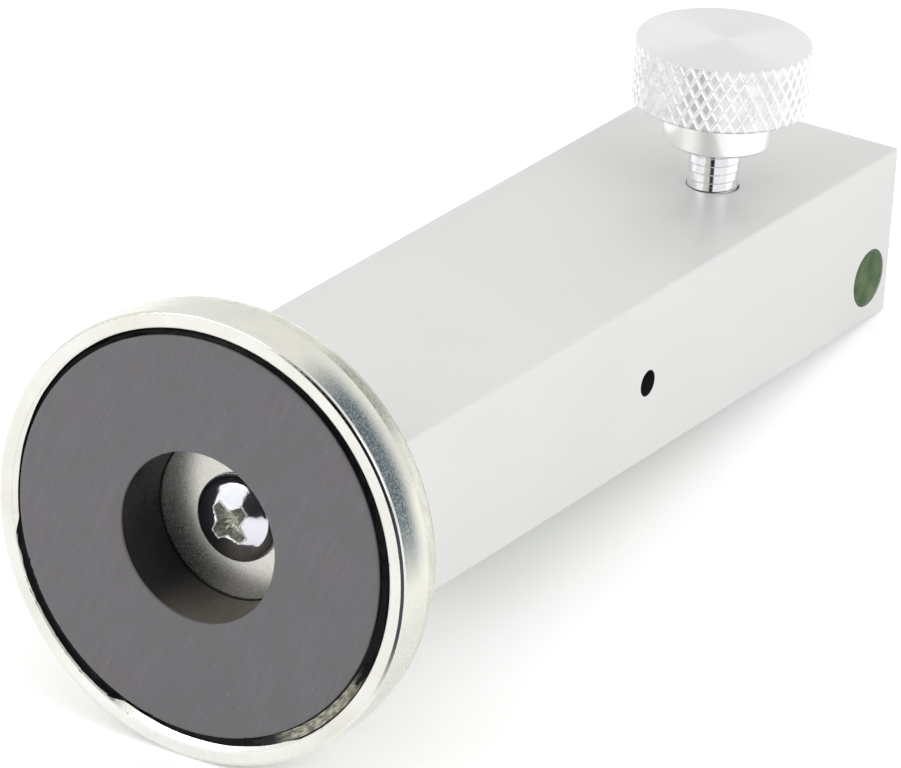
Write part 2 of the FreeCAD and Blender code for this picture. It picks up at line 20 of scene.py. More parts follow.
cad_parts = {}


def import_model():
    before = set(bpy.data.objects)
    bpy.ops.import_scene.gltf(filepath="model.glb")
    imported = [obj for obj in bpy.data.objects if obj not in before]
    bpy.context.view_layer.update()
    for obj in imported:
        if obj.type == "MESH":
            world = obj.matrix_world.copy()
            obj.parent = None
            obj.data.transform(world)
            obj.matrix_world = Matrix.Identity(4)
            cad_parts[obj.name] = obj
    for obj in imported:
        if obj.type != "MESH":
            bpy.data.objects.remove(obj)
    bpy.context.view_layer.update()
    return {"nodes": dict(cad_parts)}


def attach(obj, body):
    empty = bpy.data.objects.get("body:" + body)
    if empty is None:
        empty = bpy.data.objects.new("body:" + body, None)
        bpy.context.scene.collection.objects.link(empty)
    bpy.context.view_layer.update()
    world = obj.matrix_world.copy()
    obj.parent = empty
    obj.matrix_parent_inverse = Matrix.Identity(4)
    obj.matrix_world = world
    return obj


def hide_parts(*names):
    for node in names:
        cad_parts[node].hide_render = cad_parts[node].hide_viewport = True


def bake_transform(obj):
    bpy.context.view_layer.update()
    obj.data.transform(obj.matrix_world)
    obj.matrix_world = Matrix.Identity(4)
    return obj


log = logging.getLogger("gauge")

MM = 0.001
TAU = math.tau

Outline = Sequence[tuple[float, float]]
Shift = Callable[[float, int], tuple[float, float]]
Tree = bpy.types.NodeTree
Socket = bpy.types.NodeSocket
Inputs = bpy.types.NodeInputs
Paint = Union[tuple[float, float, float, float], Socket]


class Axis(Enum):
    """The frame's axis that a turned piece's own Z axis lies on."""

    X = "X"
    Y = "Y"
    Z = "Z"

    def turn(self) -> Matrix:
        """The rotation that lays a piece's own Z axis on this axis."""
        columns = {"X": "YZX", "Y": "ZXY", "Z": "XYZ"}[self.value]
        return Matrix([["XYZ".index(name) == row for name in columns] for row in range(3)]).to_4x4()


class Joinery(Enum):
    """How one solid is worked into another."""

    TAKE_OUT = "DIFFERENCE"
    ADD = "UNION"
    KEEP_SHARED = "INTERSECT"


# Finishes


def linear(colour: str) -> tuple[float, float, float, float]:
    """Turn an sRGB hex colour into linear light.

    Args:
        colour: Six hex digits after a hash.

    Returns:
        Red, green, blue and an alpha of one.
    """
    shares = [int(colour[place : place + 2], 16) / 255 for place in (1, 3, 5)]
    light = [s / 12.92 if s <= 0.04045 else ((s + 0.055) / 1.055) ** 2.4 for s in shares]
    return (light[0], light[1], light[2], 1.0)


def add_node(
    tree: Tree, kind: str, inputs: Optional[dict] = None, out: str = "", **settings: object
) -> Optional[Socket]:
    """Add a node with its settings and links.

    Args:
        tree: The node tree that takes the node.
        kind: The node's type, without the prefix that all of them share.
        inputs: For each input, by identifier or name, a number, a colour or another node's output.
        out: The identifier of the output that is wanted, or nothing for the first.
        settings: The node's own settings.

    Returns:
        The wanted output, or None where the node has none.
    """
    node = tree.nodes.new(f"ShaderNode{kind}")
    for name, value in settings.items():
        setattr(node, name, value)
    for key, value in (inputs or {}).items():
        known = [socket for socket in node.inputs if socket.identifier == key]
        socket = known[0] if known else node.inputs[key]
        if isinstance(value, Socket):
            tree.links.new(value, socket)
        else:
            socket.default_value = value
    if not node.outputs:
        return None
    return next((s for s in node.outputs if s.identifier == out), node.outputs[0])


def per_mm(size: float) -> float:
    """The scale of a texture, in a frame in metres, whose features are so many millimetres wide."""
    return 1 / (size * MM)


def clouded(
    tree: Tree,
    pattern: Socket,
    reach: tuple[float, float],
    under: Paint,
    over: Paint,
    shares: tuple[float, float] = (0.0, 1.0),
) -> Socket:
    """Let a second colour through where a pattern is strong.

    Args:
        tree: The material's node tree.
        pattern: The pattern.
        reach: The pattern's values between which the second colour comes in.
        under: The first colour.
        over: The second colour.
        shares: How much of the second colour there is at those two values.

    Returns:
        The blended colour.
    """
    (low, high), (start, end) = reach, shares
    share = add_node(
        tree,
        "MapRange",
        {"Value": pattern, "From Min": low, "From Max": high, "To Min": start, "To Max": end},
    )
    return add_node(
        tree,
        "Mix",
        {"Factor_Float": share, "A_Color": under, "B_Color": over},
        out="Result_Color",
        data_type="RGBA",
    )


def skinned(
    tree: Tree,
    shader: Inputs,
    pattern: Socket,
    reach: tuple[float, float],
    dullness: tuple[float, float],
    strength: float,
    relief: float,
) -> None:
    """Roughen a surface by a pattern, and raise the same pattern in relief.

    Args:
        tree: The material's node tree.
        shader: The inputs of its principled shader.
        pattern: The pattern.
        reach: The pattern's values between which the dullness changes.
        dullness: The roughness at those two values.
        strength: How much of the relief is felt.
        relief: The relief's height, in millimetres.
    """
    (low, high), (start, end) = reach, dullness
    dull = add_node(
        tree,
        "MapRange",
        {"Value": pattern, "From Min": low, "From Max": high, "To Min": start, "To Max": end},
    )
    tree.links.new(dull, shader["Roughness"])
    bump = add_node(tree, "Bump", {"Height": pattern, "Strength": strength, "Distance": relief * MM})
    tree.links.new(bump, shader["Normal"])


def in_sector(tree: Tree, place: Socket, clock: float, reach: tuple[float, float]) -> Socket:
    """Mask a sector round the magnet's axis.

    Args:
        tree: The material's node tree.
        place: Object coordinates.
        clock: The sector's middle, in degrees on a clock that faces the magnet.
        reach: How many degrees to each side the mask stays whole, and where it ends.

    Returns:
        One in the sector, easing to zero beside it.
    """
    middle = math.radians(clock)
    flat = add_node(tree, "VectorMath", {"Vector": place, "Vector_001": (1, 1, 0)}, operation="MULTIPLY")
    way = add_node(tree, "VectorMath", {"Vector": flat}, operation="NORMALIZE")
    nearness = add_node(
        tree,
        "VectorMath",
        {"Vector": way, "Vector_001": (-math.sin(middle), math.cos(middle), 0)},
        out="Value",
        operation="DOT_PRODUCT",
    )
    core, edge = (math.cos(math.radians(side)) for side in reach)
    return add_node(
        tree,
        "MapRange",
        {"Value": nearness, "From Min": edge, "From Max": core, "To Min": 0.0, "To Max": 1.0},
        interpolation_type="SMOOTHSTEP",
    )


def angle_about_axis(tree: Tree, place: Socket) -> Socket:
    """Find the angle about a piece's own Z axis.

    Args:
        tree: The material's node tree.
        place: Object coordinates.

    Returns:
        The angle from the X axis, in radians.
    """
    parts = add_node(tree, "SeparateXYZ", {"Vector": place}).node.outputs
    return add_node(tree, "Math", {"Value": parts["Y"], "Value_001": parts["X"]}, operation="ARCTAN2")


@dataclass(frozen=True)
class Finish:
    """A real finish: its name, its colour and how it takes light."""

    name: str
    colour: str
    metallic: float = 0.0
    roughness: float = 0.5

    def material(self) -> bpy.types.Material:
        """Make the material the first time, and give the same one after that.

        Returns:
            The material.
        """
        made = bpy.data.materials.get(self.name)
        if made is None:
            made = bpy.data.materials.new(self.name)
            made.use_nodes = True
            tree = made.node_tree
            tree.nodes.clear()
            surface = add_node(
                tree,
                "BsdfPrincipled",
                {"Base Color": linear(self.colour), "Metallic": self.metallic, "Roughness": self.roughness},
            )
            add_node(tree, "OutputMaterial", {"Surface": surface})
            self.work(tree, surface.node.inputs)
        return made

    def work(self, tree: Tree, shader: Inputs) -> None:
        """Draw what the making leaves on the surface.

        Args:
            tree: The material's node tree.
            shader: The inputs of its principled shader.
        """


@dataclass(frozen=True)
class SatinAnodised(Finish):
    """Clear anodised aluminium bar: etched matt, so it gives an even, soft grey with faint drawn lines."""

    darker: str = "#D5D6D4"
    line_width: float = 0.22
    line_length: float = 22.0
    cloud: float = 16.0
    relief: float = 0.0006
    # The pin's bore, painted dark as shade: a point on its axis, and its radius
    bore_at: tuple[float, float, float] = (68.0, 0.0, -0.6)
    bore_radius: float = 1.53
    bore_painted_shade: str = "#353538"

    def in_bore(self, tree: Tree, place: Socket) -> Socket:
        """Find the places that lie in the pin's bore.

        Args:
            tree: The material's node tree.
            place: Object coordinates.

        Returns:
            One in the bore and zero elsewhere.
        """
        flat = add_node(
            tree, "VectorMath", {"Vector": place, "Vector_001": (1, 0, 1)}, operation="MULTIPLY"
        )
        apart = add_node(
            tree,
            "VectorMath",
            {"Vector": flat, "Vector_001": Vector(self.bore_at) * MM},
            out="Value",
            operation="DISTANCE",
        )
        return add_node(
            tree, "Math", {"Value": apart, "Value_001": self.bore_radius * MM}, operation="LESS_THAN"
        )

    def work(self, tree: Tree, shader: Inputs) -> None:
        """Lay faint lines along the bar over slow clouds of shade, and paint shade into the bore.

        Args:
            tree: The material's node tree.
            shader: The inputs of its principled shader.
        """
        place = add_node(tree, "TexCoord", out="Object")
        across = per_mm(self.line_width)
        drawn = add_node(
            tree, "Mapping", {"Vector": place, "Scale": (per_mm(self.line_length), across, across)}
        )
        lines = add_node(tree, "TexNoise", {"Vector": drawn, "Scale": 1.0, "Detail": 3.0})
        clouds = add_node(tree, "TexNoise", {"Vector": place, "Scale": per_mm(self.cloud), "Detail": 2.0})
        shade = add_node(
            tree,
            "Mix",
            {"Factor_Float": clouds, "A_Color": linear(self.darker), "B_Color": linear(self.colour)},
            out="Result_Color",
            data_type="RGBA",
        )
        # Painted shade inside the pin's bore
        with_bore_shade = add_node(
            tree,
            "Mix",
            {"Factor_Float": self.in_bore(tree, place), "A_Color": shade, "B_Color": linear(self.bore_painted_shade)},
            out="Result_Color",
            data_type="RGBA",
        )
        tree.links.new(with_bore_shade, shader["Base Color"])
        dullness = (self.roughness - 0.03, self.roughness + 0.05)
        skinned(tree, shader, lines, (0.3, 0.7), dullness, 0.12, self.relief)


@dataclass(frozen=True)
class BrightPlate(Finish):
    """Bright plate on steel, zinc or nickel: a mirror broken by small dull crystals.

    The crystals don't show where the plate mirrors white, and show as frost where it mirrors dark.
    """

    smoked: str = "#E4E3D6"
    crystal: float = 0.5
    cloud: float = 7.0
    dull: float = 0.4
    relief: float = 0.0006
    # Where a painted sheet of light or shade lies, in degrees on a clock that faces the magnet and turns
    # with the piece, and how far it reaches
    painted_at: Optional[float] = None
    painted_reach: tuple[float, float] = (12.0, 34.0)
    painted_depth: tuple[float, float] = (0.8, 4.4)
    painted_colour: str = "#4A5A64"
    # How much of the painted sheet lies over a crystal
    painted_gap: float = 0.45

    def work(self, tree: Tree, shader: Inputs) -> None:
        """Scatter the crystals over slow clouds of smoke, and paint the sheet of light or shade.

        Args:
            tree: The material's node tree.
            shader: The inputs of its principled shader.
        """
        place = add_node(tree, "TexCoord", out="Object")
        crystals = add_node(
            tree,
            "TexNoise",
            {"Vector": place, "Scale": per_mm(self.crystal), "Detail": 4.0, "Roughness": 0.6},
        )
        clouds = add_node(tree, "TexNoise", {"Vector": place, "Scale": per_mm(self.cloud), "Detail": 3.0})
        shade = clouded(tree, clouds, (0.4, 0.7), linear(self.colour), linear(self.smoked))
        # Lay the painted sheet of light or shade
        if self.painted_at is not None:
            shade = self.painted_over(tree, place, crystals, shade)
        tree.links.new(shade, shader["Base Color"])
        skinned(tree, shader, crystals, (0.46, 0.6), (self.roughness, self.dull), 0.6, self.relief)

    def painted_over(self, tree: Tree, place: Socket, crystals: Socket, shade: Socket) -> Socket:
        """Paint a sheet of light or shade over one side of the piece, broken by the crystals.

        Args:
            tree: The material's node tree.
            place: Object coordinates.
            crystals: The crystals' noise.
            shade: The plate's colour.

        Returns:
            The colour with the painted sheet over it.
        """
        lying = in_sector(tree, place, self.painted_at, self.painted_reach)
        gaps = add_node(
            tree,
            "MapRange",
            {"Value": crystals, "From Min": 0.4, "From Max": 0.64, "To Min": 1.0, "To Max": self.painted_gap},
        )
        depth = add_node(tree, "SeparateXYZ", {"Vector": place}, out="Z")
        near, far = (reach * MM for reach in self.painted_depth)
        fading = add_node(
            tree,
            "MapRange",
            {"Value": depth, "From Min": near, "From Max": far, "To Min": 1.0, "To Max": 0.0},
            interpolation_type="SMOOTHSTEP",
        )
        thickness = add_node(tree, "Math", {"Value": gaps, "Value_001": fading}, operation="MULTIPLY")
        cover = add_node(tree, "Math", {"Value": lying, "Value_001": thickness}, operation="MULTIPLY")
        return add_node(
            tree,
            "Mix",
            {"Factor_Float": cover, "A_Color": shade, "B_Color": linear(self.painted_colour)},
            out="Result_Color",
            data_type="RGBA",
        )


@dataclass(frozen=True)
class GroundFerrite(Finish):
    """Sintered ferrite, ground flat: dull charcoal with fine straight grinding marks and bright grains."""

    pale: str = "#717074"
    tint: str = "#6C6066"
    bright: str = "#B9BCC0"
    mark_width: float = 0.36
    mark_length: float = 6.0
    mark_lean: float = math.radians(21)
    # The marks are arcs, so they wander from a straight line by so much over so far
    wander: float = 2.6
    wander_over: float = 22.0
    relief: float = 0.002

    def work(self, tree: Tree, shader: Inputs) -> None:
        """Lay the grinding marks across the face, and scatter bright grains.

        Args:
            tree: The material's node tree.
            shader: The inputs of its principled shader.
        """
        place = add_node(tree, "TexCoord", out="Object")
        slow = add_node(
            tree,
            "TexNoise",
            {"Vector": place, "Scale": per_mm(self.wander_over), "Detail": 0.0},
            out="Color",
        )
        aside = add_node(
            tree,
            "VectorMath",
            {"Vector": slow, "Vector_001": (self.wander * MM,) * 3},
            operation="MULTIPLY",
        )
        bent = add_node(tree, "VectorMath", {"Vector": place, "Vector_001": aside}, operation="ADD")
        leant = add_node(
            tree, "VectorRotate", {"Vector": bent, "Angle": -self.mark_lean}, rotation_type="Z_AXIS"
        )
        across = per_mm(self.mark_width)
        ground = add_node(
            tree, "Mapping", {"Vector": leant, "Scale": (across, per_mm(self.mark_length), across)}
        )
        marks = add_node(
            tree, "TexNoise", {"Vector": ground, "Scale": 1.0, "Detail": 4.0, "Roughness": 0.65}
        )
        clouds = add_node(tree, "TexNoise", {"Vector": place, "Scale": per_mm(7.0), "Detail": 3.0})
        strength = add_node(
            tree,
            "MapRange",
            {"Value": marks, "From Min": 0.4, "From Max": 0.72, "To Min": 0.0, "To Max": 1.0},
        )
        worn = add_node(
            tree,
            "MapRange",
            {"Value": clouds, "From Min": 0.38, "From Max": 0.62, "To Min": 0.35, "To Max": 1.0},
        )
        strength = add_node(tree, "Math", {"Value": strength, "Value_001": worn}, operation="MULTIPLY")
        shade = add_node(
            tree,
            "Mix",
            {"Factor_Float": strength, "A_Color": linear(self.colour), "B_Color": linear(self.pale)},
            out="Result_Color",
            data_type="RGBA",
        )
        tinted = clouded(tree, clouds, (0.5, 0.75), shade, linear(self.tint), (0.0, 0.6))
        grains = add_node(tree, "TexVoronoi", {"Vector": place, "Scale": per_mm(1.6)}, out="Distance")
        speckled = clouded(tree, grains, (0.025, 0.05), tinted, linear(self.bright), (0.5, 0.0))
        tree.links.new(speckled, shader["Base Color"])
        skinned(tree, shader, marks, (0.3, 0.7), (0.42, 0.54), 0.7, self.relief)


@dataclass(frozen=True)
class Mottled(Finish):
    """A cast, moulded or blackened surface: one colour clouded by another, with a fine skin to it."""

    other: str = "#000000"
    cloud: float = 1.5
    grain: float = 0.3
    spread: float = 0.1
    relief: float = 0.003
    shine: float = 0.5

    def work(self, tree: Tree, shader: Inputs) -> None:
        """Cloud the colour and roughen the skin.

        Args:
            tree: The material's node tree.
            shader: The inputs of its principled shader.
        """
        shader["Specular IOR Level"].default_value = self.shine
        place = add_node(tree, "TexCoord", out="Object")
        clouds = add_node(tree, "TexNoise", {"Vector": place, "Scale": per_mm(self.cloud), "Detail": 3.0})
        skin = add_node(tree, "TexNoise", {"Vector": place, "Scale": per_mm(self.grain), "Detail": 2.0})
        shade = clouded(tree, clouds, (0.35, 0.65), linear(self.colour), linear(self.other))
        tree.links.new(shade, shader["Base Color"])
        dullness = (self.roughness - self.spread, self.roughness + self.spread)
        skinned(tree, shader, skin, (0.3, 0.7), dullness, 0.6, self.relief)


@dataclass(frozen=True)
class KilnSkin(Mottled):
    """Ferrite as it left the kiln: nearly black, with painted light in warm grey along one side of the
    bore.
    """

    # Painted light on the lit side of the bore: its colour, its middle on the clock and its reach
    wear_and_painted_light: str = "#5F5A52"
    painted_light_at: float = 158.0
    painted_light_reach: tuple[float, float] = (4.0, 62.0)

    def work(self, tree: Tree, shader: Inputs) -> None:
        """Paint light onto one side of the mottled skin.

        Args:
            tree: The material's node tree.
            shader: The inputs of its principled shader.
        """
        super().work(tree, shader)
        shade = shader["Base Color"].links[0].from_socket
        place = add_node(tree, "TexCoord", out="Object")
        lit_side = in_sector(tree, place, self.painted_light_at, self.painted_light_reach)
        mixed = add_node(
            tree,
            "Mix",
            {"Factor_Float": lit_side, "A_Color": shade, "B_Color": linear(self.wear_and_painted_light)},
            out="Result_Color",
            data_type="RGBA",
        )
        tree.links.new(mixed, shader["Base Color"])


@dataclass(frozen=True)
class DraggedResin(Finish):
    """Epoxy dragged thin round the cup: plate shows through in olive streaks that follow the circle."""

    bare: str = "#C6C5B2"
    thick: str = "#050506"
    dragged_at: float = 134.0
    dragged_reach: tuple[float, float] = (8.0, 20.0)
    streak_width: float = 0.22
    streak_turn: float = 0.05

    def work(self, tree: Tree, shader: Inputs) -> None:
        """Draw streaks along the circle by the distance from the axis and the angle round it.

        Args:
            tree: The material's node tree.
            shader: The inputs of its principled shader.
        """
        place = add_node(tree, "TexCoord", out="Object")
        flat = add_node(
            tree, "VectorMath", {"Vector": place, "Vector_001": (1, 1, 0)}, operation="MULTIPLY"
        )
        out = add_node(tree, "VectorMath", {"Vector": flat}, out="Value", operation="LENGTH")
        rings = add_node(
            tree, "Math", {"Value": out, "Value_001": per_mm(self.streak_width)}, operation="MULTIPLY"
        )
        angle = angle_about_axis(tree, place)
        along = add_node(
            tree, "Math", {"Value": angle, "Value_001": 1 / self.streak_turn}, operation="MULTIPLY"
        )
        polar = add_node(tree, "CombineXYZ", {"X": rings, "Y": along})
        streaks = add_node(tree, "TexNoise", {"Vector": polar, "Scale": 1.0, "Detail": 3.0})
        shade = clouded(tree, streaks, (0.4, 0.68), linear(self.colour), linear(self.bare))
        faded = add_node(
            tree,
            "Mix",
            {
                "Factor_Float": in_sector(tree, place, self.dragged_at, self.dragged_reach),
                "A_Color": linear(self.thick),
                "B_Color": shade,
            },
            out="Result_Color",
            data_type="RGBA",
        )
        tree.links.new(faded, shader["Base Color"])
        bump = add_node(tree, "Bump", {"Height": streaks, "Strength": 0.5, "Distance": 0.02 * MM})
        tree.links.new(bump, shader["Normal"])


@dataclass(frozen=True)
class Turned(Finish):
    """Lathe-turned metal: rings of feed marks spread each highlight across the turned face, with a painted
    fan of sheen over it.
    """

    feed: float = 0.14
    # A wave texture runs this much faster than its scale says, so a ring is six feeds wide and shows
    wave_share: float = 20.0
    sheen: float = 0.6
    relief: float = 0.0006
    # The painted fan of sheen: its paler colour, and the angle about the axis where it is palest
    painted_sheen: str = ""
    painted_sheen_at: float = math.radians(112)

    def work(self, tree: Tree, shader: Inputs) -> None:
        """Cut the feed marks round the piece's own axis, and paint the fan of sheen over them.

        Args:
            tree: The material's node tree.
            shader: The inputs of its principled shader.
        """
        if self.painted_sheen:
            self.paint_sheen(tree, shader)
        shader["Anisotropic"].default_value = self.sheen
        round_axis = add_node(tree, "Tangent", direction_type="RADIAL", axis="Z")
        tree.links.new(round_axis, shader["Tangent"])
        place = add_node(tree, "TexCoord", out="Object")
        scale = per_mm(self.feed) / self.wave_share
        rings = add_node(
            tree,
            "TexWave",
            {"Vector": place, "Scale": scale, "Distortion": 0.6, "Detail": 2.0},
            out="Fac",
            wave_type="RINGS",
            rings_direction="Z",
        )
        rubs = add_node(tree, "TexNoise", {"Vector": place, "Scale": per_mm(2.5), "Detail": 3.0})
        dull = add_node(
            tree,
            "MapRange",
            {
                "Value": rubs,
                "From Min": 0.3,
                "From Max": 0.7,
                "To Min": self.roughness - 0.03,
                "To Max": self.roughness + 0.05,
            },
        )
        tree.links.new(dull, shader["Roughness"])
        bump = add_node(tree, "Bump", {"Height": rings, "Strength": 0.4, "Distance": self.relief * MM})
        tree.links.new(bump, shader["Normal"])

    def paint_sheen(self, tree: Tree, shader: Inputs) -> None:
        """Paint a paler sheen onto the turned face in two opposite sectors.

        Args:
            tree: The material's node tree.
            shader: The inputs of its principled shader.
        """
        angle = angle_about_axis(tree, add_node(tree, "TexCoord", out="Object"))
        off = add_node(
            tree,
            "Math",
            {"Value": angle, "Value_001": 2.0, "Value_002": -2 * self.painted_sheen_at},
            operation="MULTIPLY_ADD",
        )
        wave = add_node(tree, "Math", {"Value": off}, operation="COSINE")
        spread = add_node(
            tree,
            "MapRange",
            {"Value": wave, "From Min": -1.0, "From Max": 1.0, "To Min": 0.0, "To Max": 1.0},
            interpolation_type="SMOOTHSTEP",
        )
        shade = add_node(
            tree,
            "Mix",
            {"Factor_Float": spread, "A_Color": linear(self.colour), "B_Color": linear(self.painted_sheen)},
            out="Result_Color",
            data_type="RGBA",
        )
        tree.links.new(shade, shader["Base Color"])


@dataclass(frozen=True)
class Clear(Finish):
    """Glass, or a dyed liquid in it: clear, with the colour taken from the light that passes."""

    ior: float = 1.5
    passing: float = 1.0
    seed: float = 0.6

    def work(self, tree: Tree, shader: Inputs) -> None:
        """Let light through, and dull it a little where the surface is handled.

        Args:
            tree: The material's node tree.
            shader: The inputs of its principled shader.
        """
        shader["IOR"].default_value = self.ior
        shader["Transmission Weight"].default_value = self.passing
        place = add_node(tree, "TexCoord", out="Object")
        haze = add_node(tree, "TexNoise", {"Vector": place, "Scale": per_mm(self.seed), "Detail": 2.0})
        dull = add_node(
            tree,
            "MapRange",
            {
                "Value": haze,
                "From Min": 0.4,
                "From Max": 0.75,
                "To Min": self.roughness,
                "To Max": self.roughness + 0.04,
            },
        )
        tree.links.new(dull, shader["Roughness"])


class Stock:
    """The finishes that the gauge is made in."""

    # Anodised aluminium, etched before anodising: even satin grey
    BAR = SatinAnodised("satin_anodised_aluminium", "#DCDCDA", 0.45, 0.46)
    # Bright zinc plate: warm white mirror with frosted patches, and painted light along its lowest side
    CUP = BrightPlate(
        "bright_zinc_plate", "#E2E1DC", 1.0, 0.12, smoked="#DAD9D0", crystal=0.8, dull=0.24,
        painted_at=184.0, painted_reach=(18.0, 52.0), painted_colour="#F1F1EC", painted_gap=0.8,
    )
    # The rim's outer lip, with a painted dark line of shade on the side near the thumb screw
    LIP = BrightPlate(
        "zinc_lip_painted_shade", "#E2E1DC", 1.0, 0.08, painted_at=68.0, painted_reach=(30.0, 52.0),
        painted_depth=(8.0, 9.0), painted_colour="#44484B", painted_gap=1.0,
    )
    # The same plate on the cup's wall, with a painted dark blue reflection on the side near the thumb screw
    WALL = BrightPlate(
        "zinc_plate_painted_reflection", "#D8D8D1", 1.0, 0.12, crystal=0.25, painted_at=55.0, painted_depth=(2.0, 4.8),
        painted_gap=0.68,
    )
    # On the drawn corner the plate is thin and burnt: olive and frosty, with a painted grey reflection on
    # one side
    SHOULDER = BrightPlate(
        "burnt_zinc_plate_painted_reflection", "#D9D8CD", 1.0, 0.2, smoked="#CAC9BC", cloud=2.5,
        painted_at=38.0, painted_reach=(5.0, 15.0), painted_depth=(6.4, 8.4), painted_colour="#96978D",
    )
    # The plate is dull white down the inside of the wall
    INSIDE = BrightPlate("dull_zinc_plate", "#F8F7F2", 0.15, 0.5, dull=0.7)
    # The floor inside is frosted: bright where it mirrors the mouth, and dark where it mirrors the bore
    FLOOR = BrightPlate(
        "frosted_zinc_floor", "#DAD8D2", 0.92, 0.25, smoked="#CCCAC1", crystal=0.35, dull=0.28,
        relief=0.00005,
    )
    # Ground strontium ferrite: dull charcoal
    FERRITE = GroundFerrite("ground_ferrite", "#646466", 0.0, 0.45)
    # Sintered ferrite as it left the kiln, in the bore and round the side: nearly black, with painted light
    # on one side of the bore
    SKIN = KilnSkin(
        "sintered_ferrite_skin", "#161619", 0.0, 0.55, other="#222125", cloud=6.0, relief=0.01, shine=0.2
    )
    # Cast epoxy: black, glossy where it wetted the walls
    RESIN = Mottled("black_cast_epoxy", "#040405", 0.0, 0.42, other="#0B0C0D", cloud=0.8, shine=0.14)
    # The same epoxy smeared thin over plate, so the metal shows through as olive grey
    RESIN_SMEAR = DraggedResin("dragged_epoxy_film", "#6A695A", 0.4, 0.35)
    # Nickel plate on a rolled screw: a cool mirror, with painted shade on one side of its head
    SCREW = BrightPlate(
        "bright_nickel_plate", "#FAFBFF", 1.0, 0.07, smoked="#EDEFF8", crystal=0.3, cloud=2.0, dull=0.12,
        painted_at=58.0, painted_reach=(40.0, 60.0), painted_depth=(4.0, 5.0), painted_colour="#DAD8E0", painted_gap=1.0,
    )
    # The punched recess: torn, dull and a little greasy
    RECESS = Mottled("punched_recess", "#B9BBAD", 0.8, 0.34, other="#7C7F73", cloud=0.4, relief=0.02)
    # The burr round the recess: bare and white, where the punch rubbed the plate off
    BURR = Mottled("rubbed_burr", "#FDFDFD", 0.5, 0.35, other="#F0F0F2", relief=0.002)
    # Aluminium, turned with a sharp tool: nearly white, with a painted fan of sheen
    KNOB = Turned("turned_aluminium", "#DFDFDE", 1.0, 0.24, painted_sheen="#EBEBEA")
    # The shoulder under the grip, turned finer: it mirrors its surroundings more sharply, and has its own
    # painted fan of sheen
    NECK = Turned("fine_turned_aluminium", "#F0F0EF", 0.88, 0.22, painted_sheen="#F4F4F3")
    # Aluminium, displaced by the knurling wheels: burnished tops, and flanks torn white
    KNURL = Mottled("knurled_aluminium", "#E2E2E3", 1.0, 0.34, other="#CECED0", spread=0.04, relief=0.001)
    FLANK = Mottled("torn_knurl_flanks", "#FAFAFA", 0.9, 0.62, other="#F3F3F4", grain=0.15, relief=0.004)
    # Rolled thread, plated bright: mirror crests and dark flanks
    THREAD = Mottled(
        "plated_rolled_thread", "#F1F1F3", 1.0, 0.12, other="#E4E4E8", spread=0.03, relief=0.001
    )
    # Brass tip: soft yellow, dulled where it rubs
    BRASS = Turned("turned_brass", "#D9B978", 1.0, 0.28)
    # Black anodised aluminium: deep grey with a satin skin
    CRADLE = Mottled("black_anodised_aluminium", "#232427", 0.75, 0.42, other="#2E2F33", cloud=4.0)
    # Blackened steel pin: blue-black and oily
    PIN = Mottled("blackened_steel", "#0B0B0E", 0.2, 0.5, other="#131317")
    # Music wire, drawn bright
    SPRING = Mottled("drawn_spring_wire", "#B9BAC0", 1.0, 0.24, other="#9FA0A6", relief=0.002)
    # Borosilicate tube: clear and fire polished
    GLASS = Clear("vial_glass", "#F7FBF8", 0.0, 0.02, ior=1.47)
    # Spirit with green dye: bright yellow-green where the white back shines through it
    SPIRIT = Clear("green_dyed_spirit", "#D3F584", 0.0, 0.02, ior=1.36, passing=0.8)
    # The same glass where green spirit fills it: the colour spreads right to the tube's edges
    VIAL_SIDE = Clear("glass_over_green_spirit", "#BCE85A", 0.0, 0.03, ior=1.47, passing=0.45)
    # The bubble under the glass: pale, because little spirit lies in front of the white back
    BUBBLE = Clear("bubble_under_glass", "#F1F9D2", 0.0, 0.02, ior=1.47, passing=0.3)
    # The bubble's edge, where the spirit's surface bends the light away: dark green
    BUBBLE_EDGE = Clear("bubble_edge", "#5E8A2C", 0.0, 0.03, ior=1.47, passing=0.3)
    # Fused end of the cross vial: dull glass over the green spirit, olive where it is thick
    VIAL_END = Mottled(
        "fused_vial_end", "#1D4A1B", 0.0, 0.4, other="#586A44", cloud=3.0, relief=0.004, shine=0.16
    )
    # The glass round that end, painted dark as the shade in the gap round it
    VIAL_RIM = Mottled("glass_edge_painted_shade", "#4A5256", 0.0, 0.3, other="#5C6457", cloud=2.5, shine=0.3)
    # White enamel on the far side of the vials, which lights the liquid from behind
    ENAMEL = Mottled("white_vial_enamel", "#F2F2EC", 0.0, 0.4, other="#EAEAE2")
    # Silicone plug: milky and soft
    PLUG = Mottled("milky_silicone_plug", "#DADBD2", 0.0, 0.5, other="#CFD0C6")
    # Casting plaster: chalky white
    PLASTER = Mottled("casting_plaster", "#E9E7DF", 0.0, 0.85, other="#DCD9CF", cloud=2.5, relief=0.03)
    # Scale strip: white lacquer on thin metal, with printed marks
    STRIP = Mottled("white_lacquered_strip", "#EFEFEA", 0.0, 0.35, other="#E8E8E2", cloud=6.0)
    INK = Mottled("black_printing_ink", "#141416", 0.0, 0.5, other="#1D1D20")


# Meshes


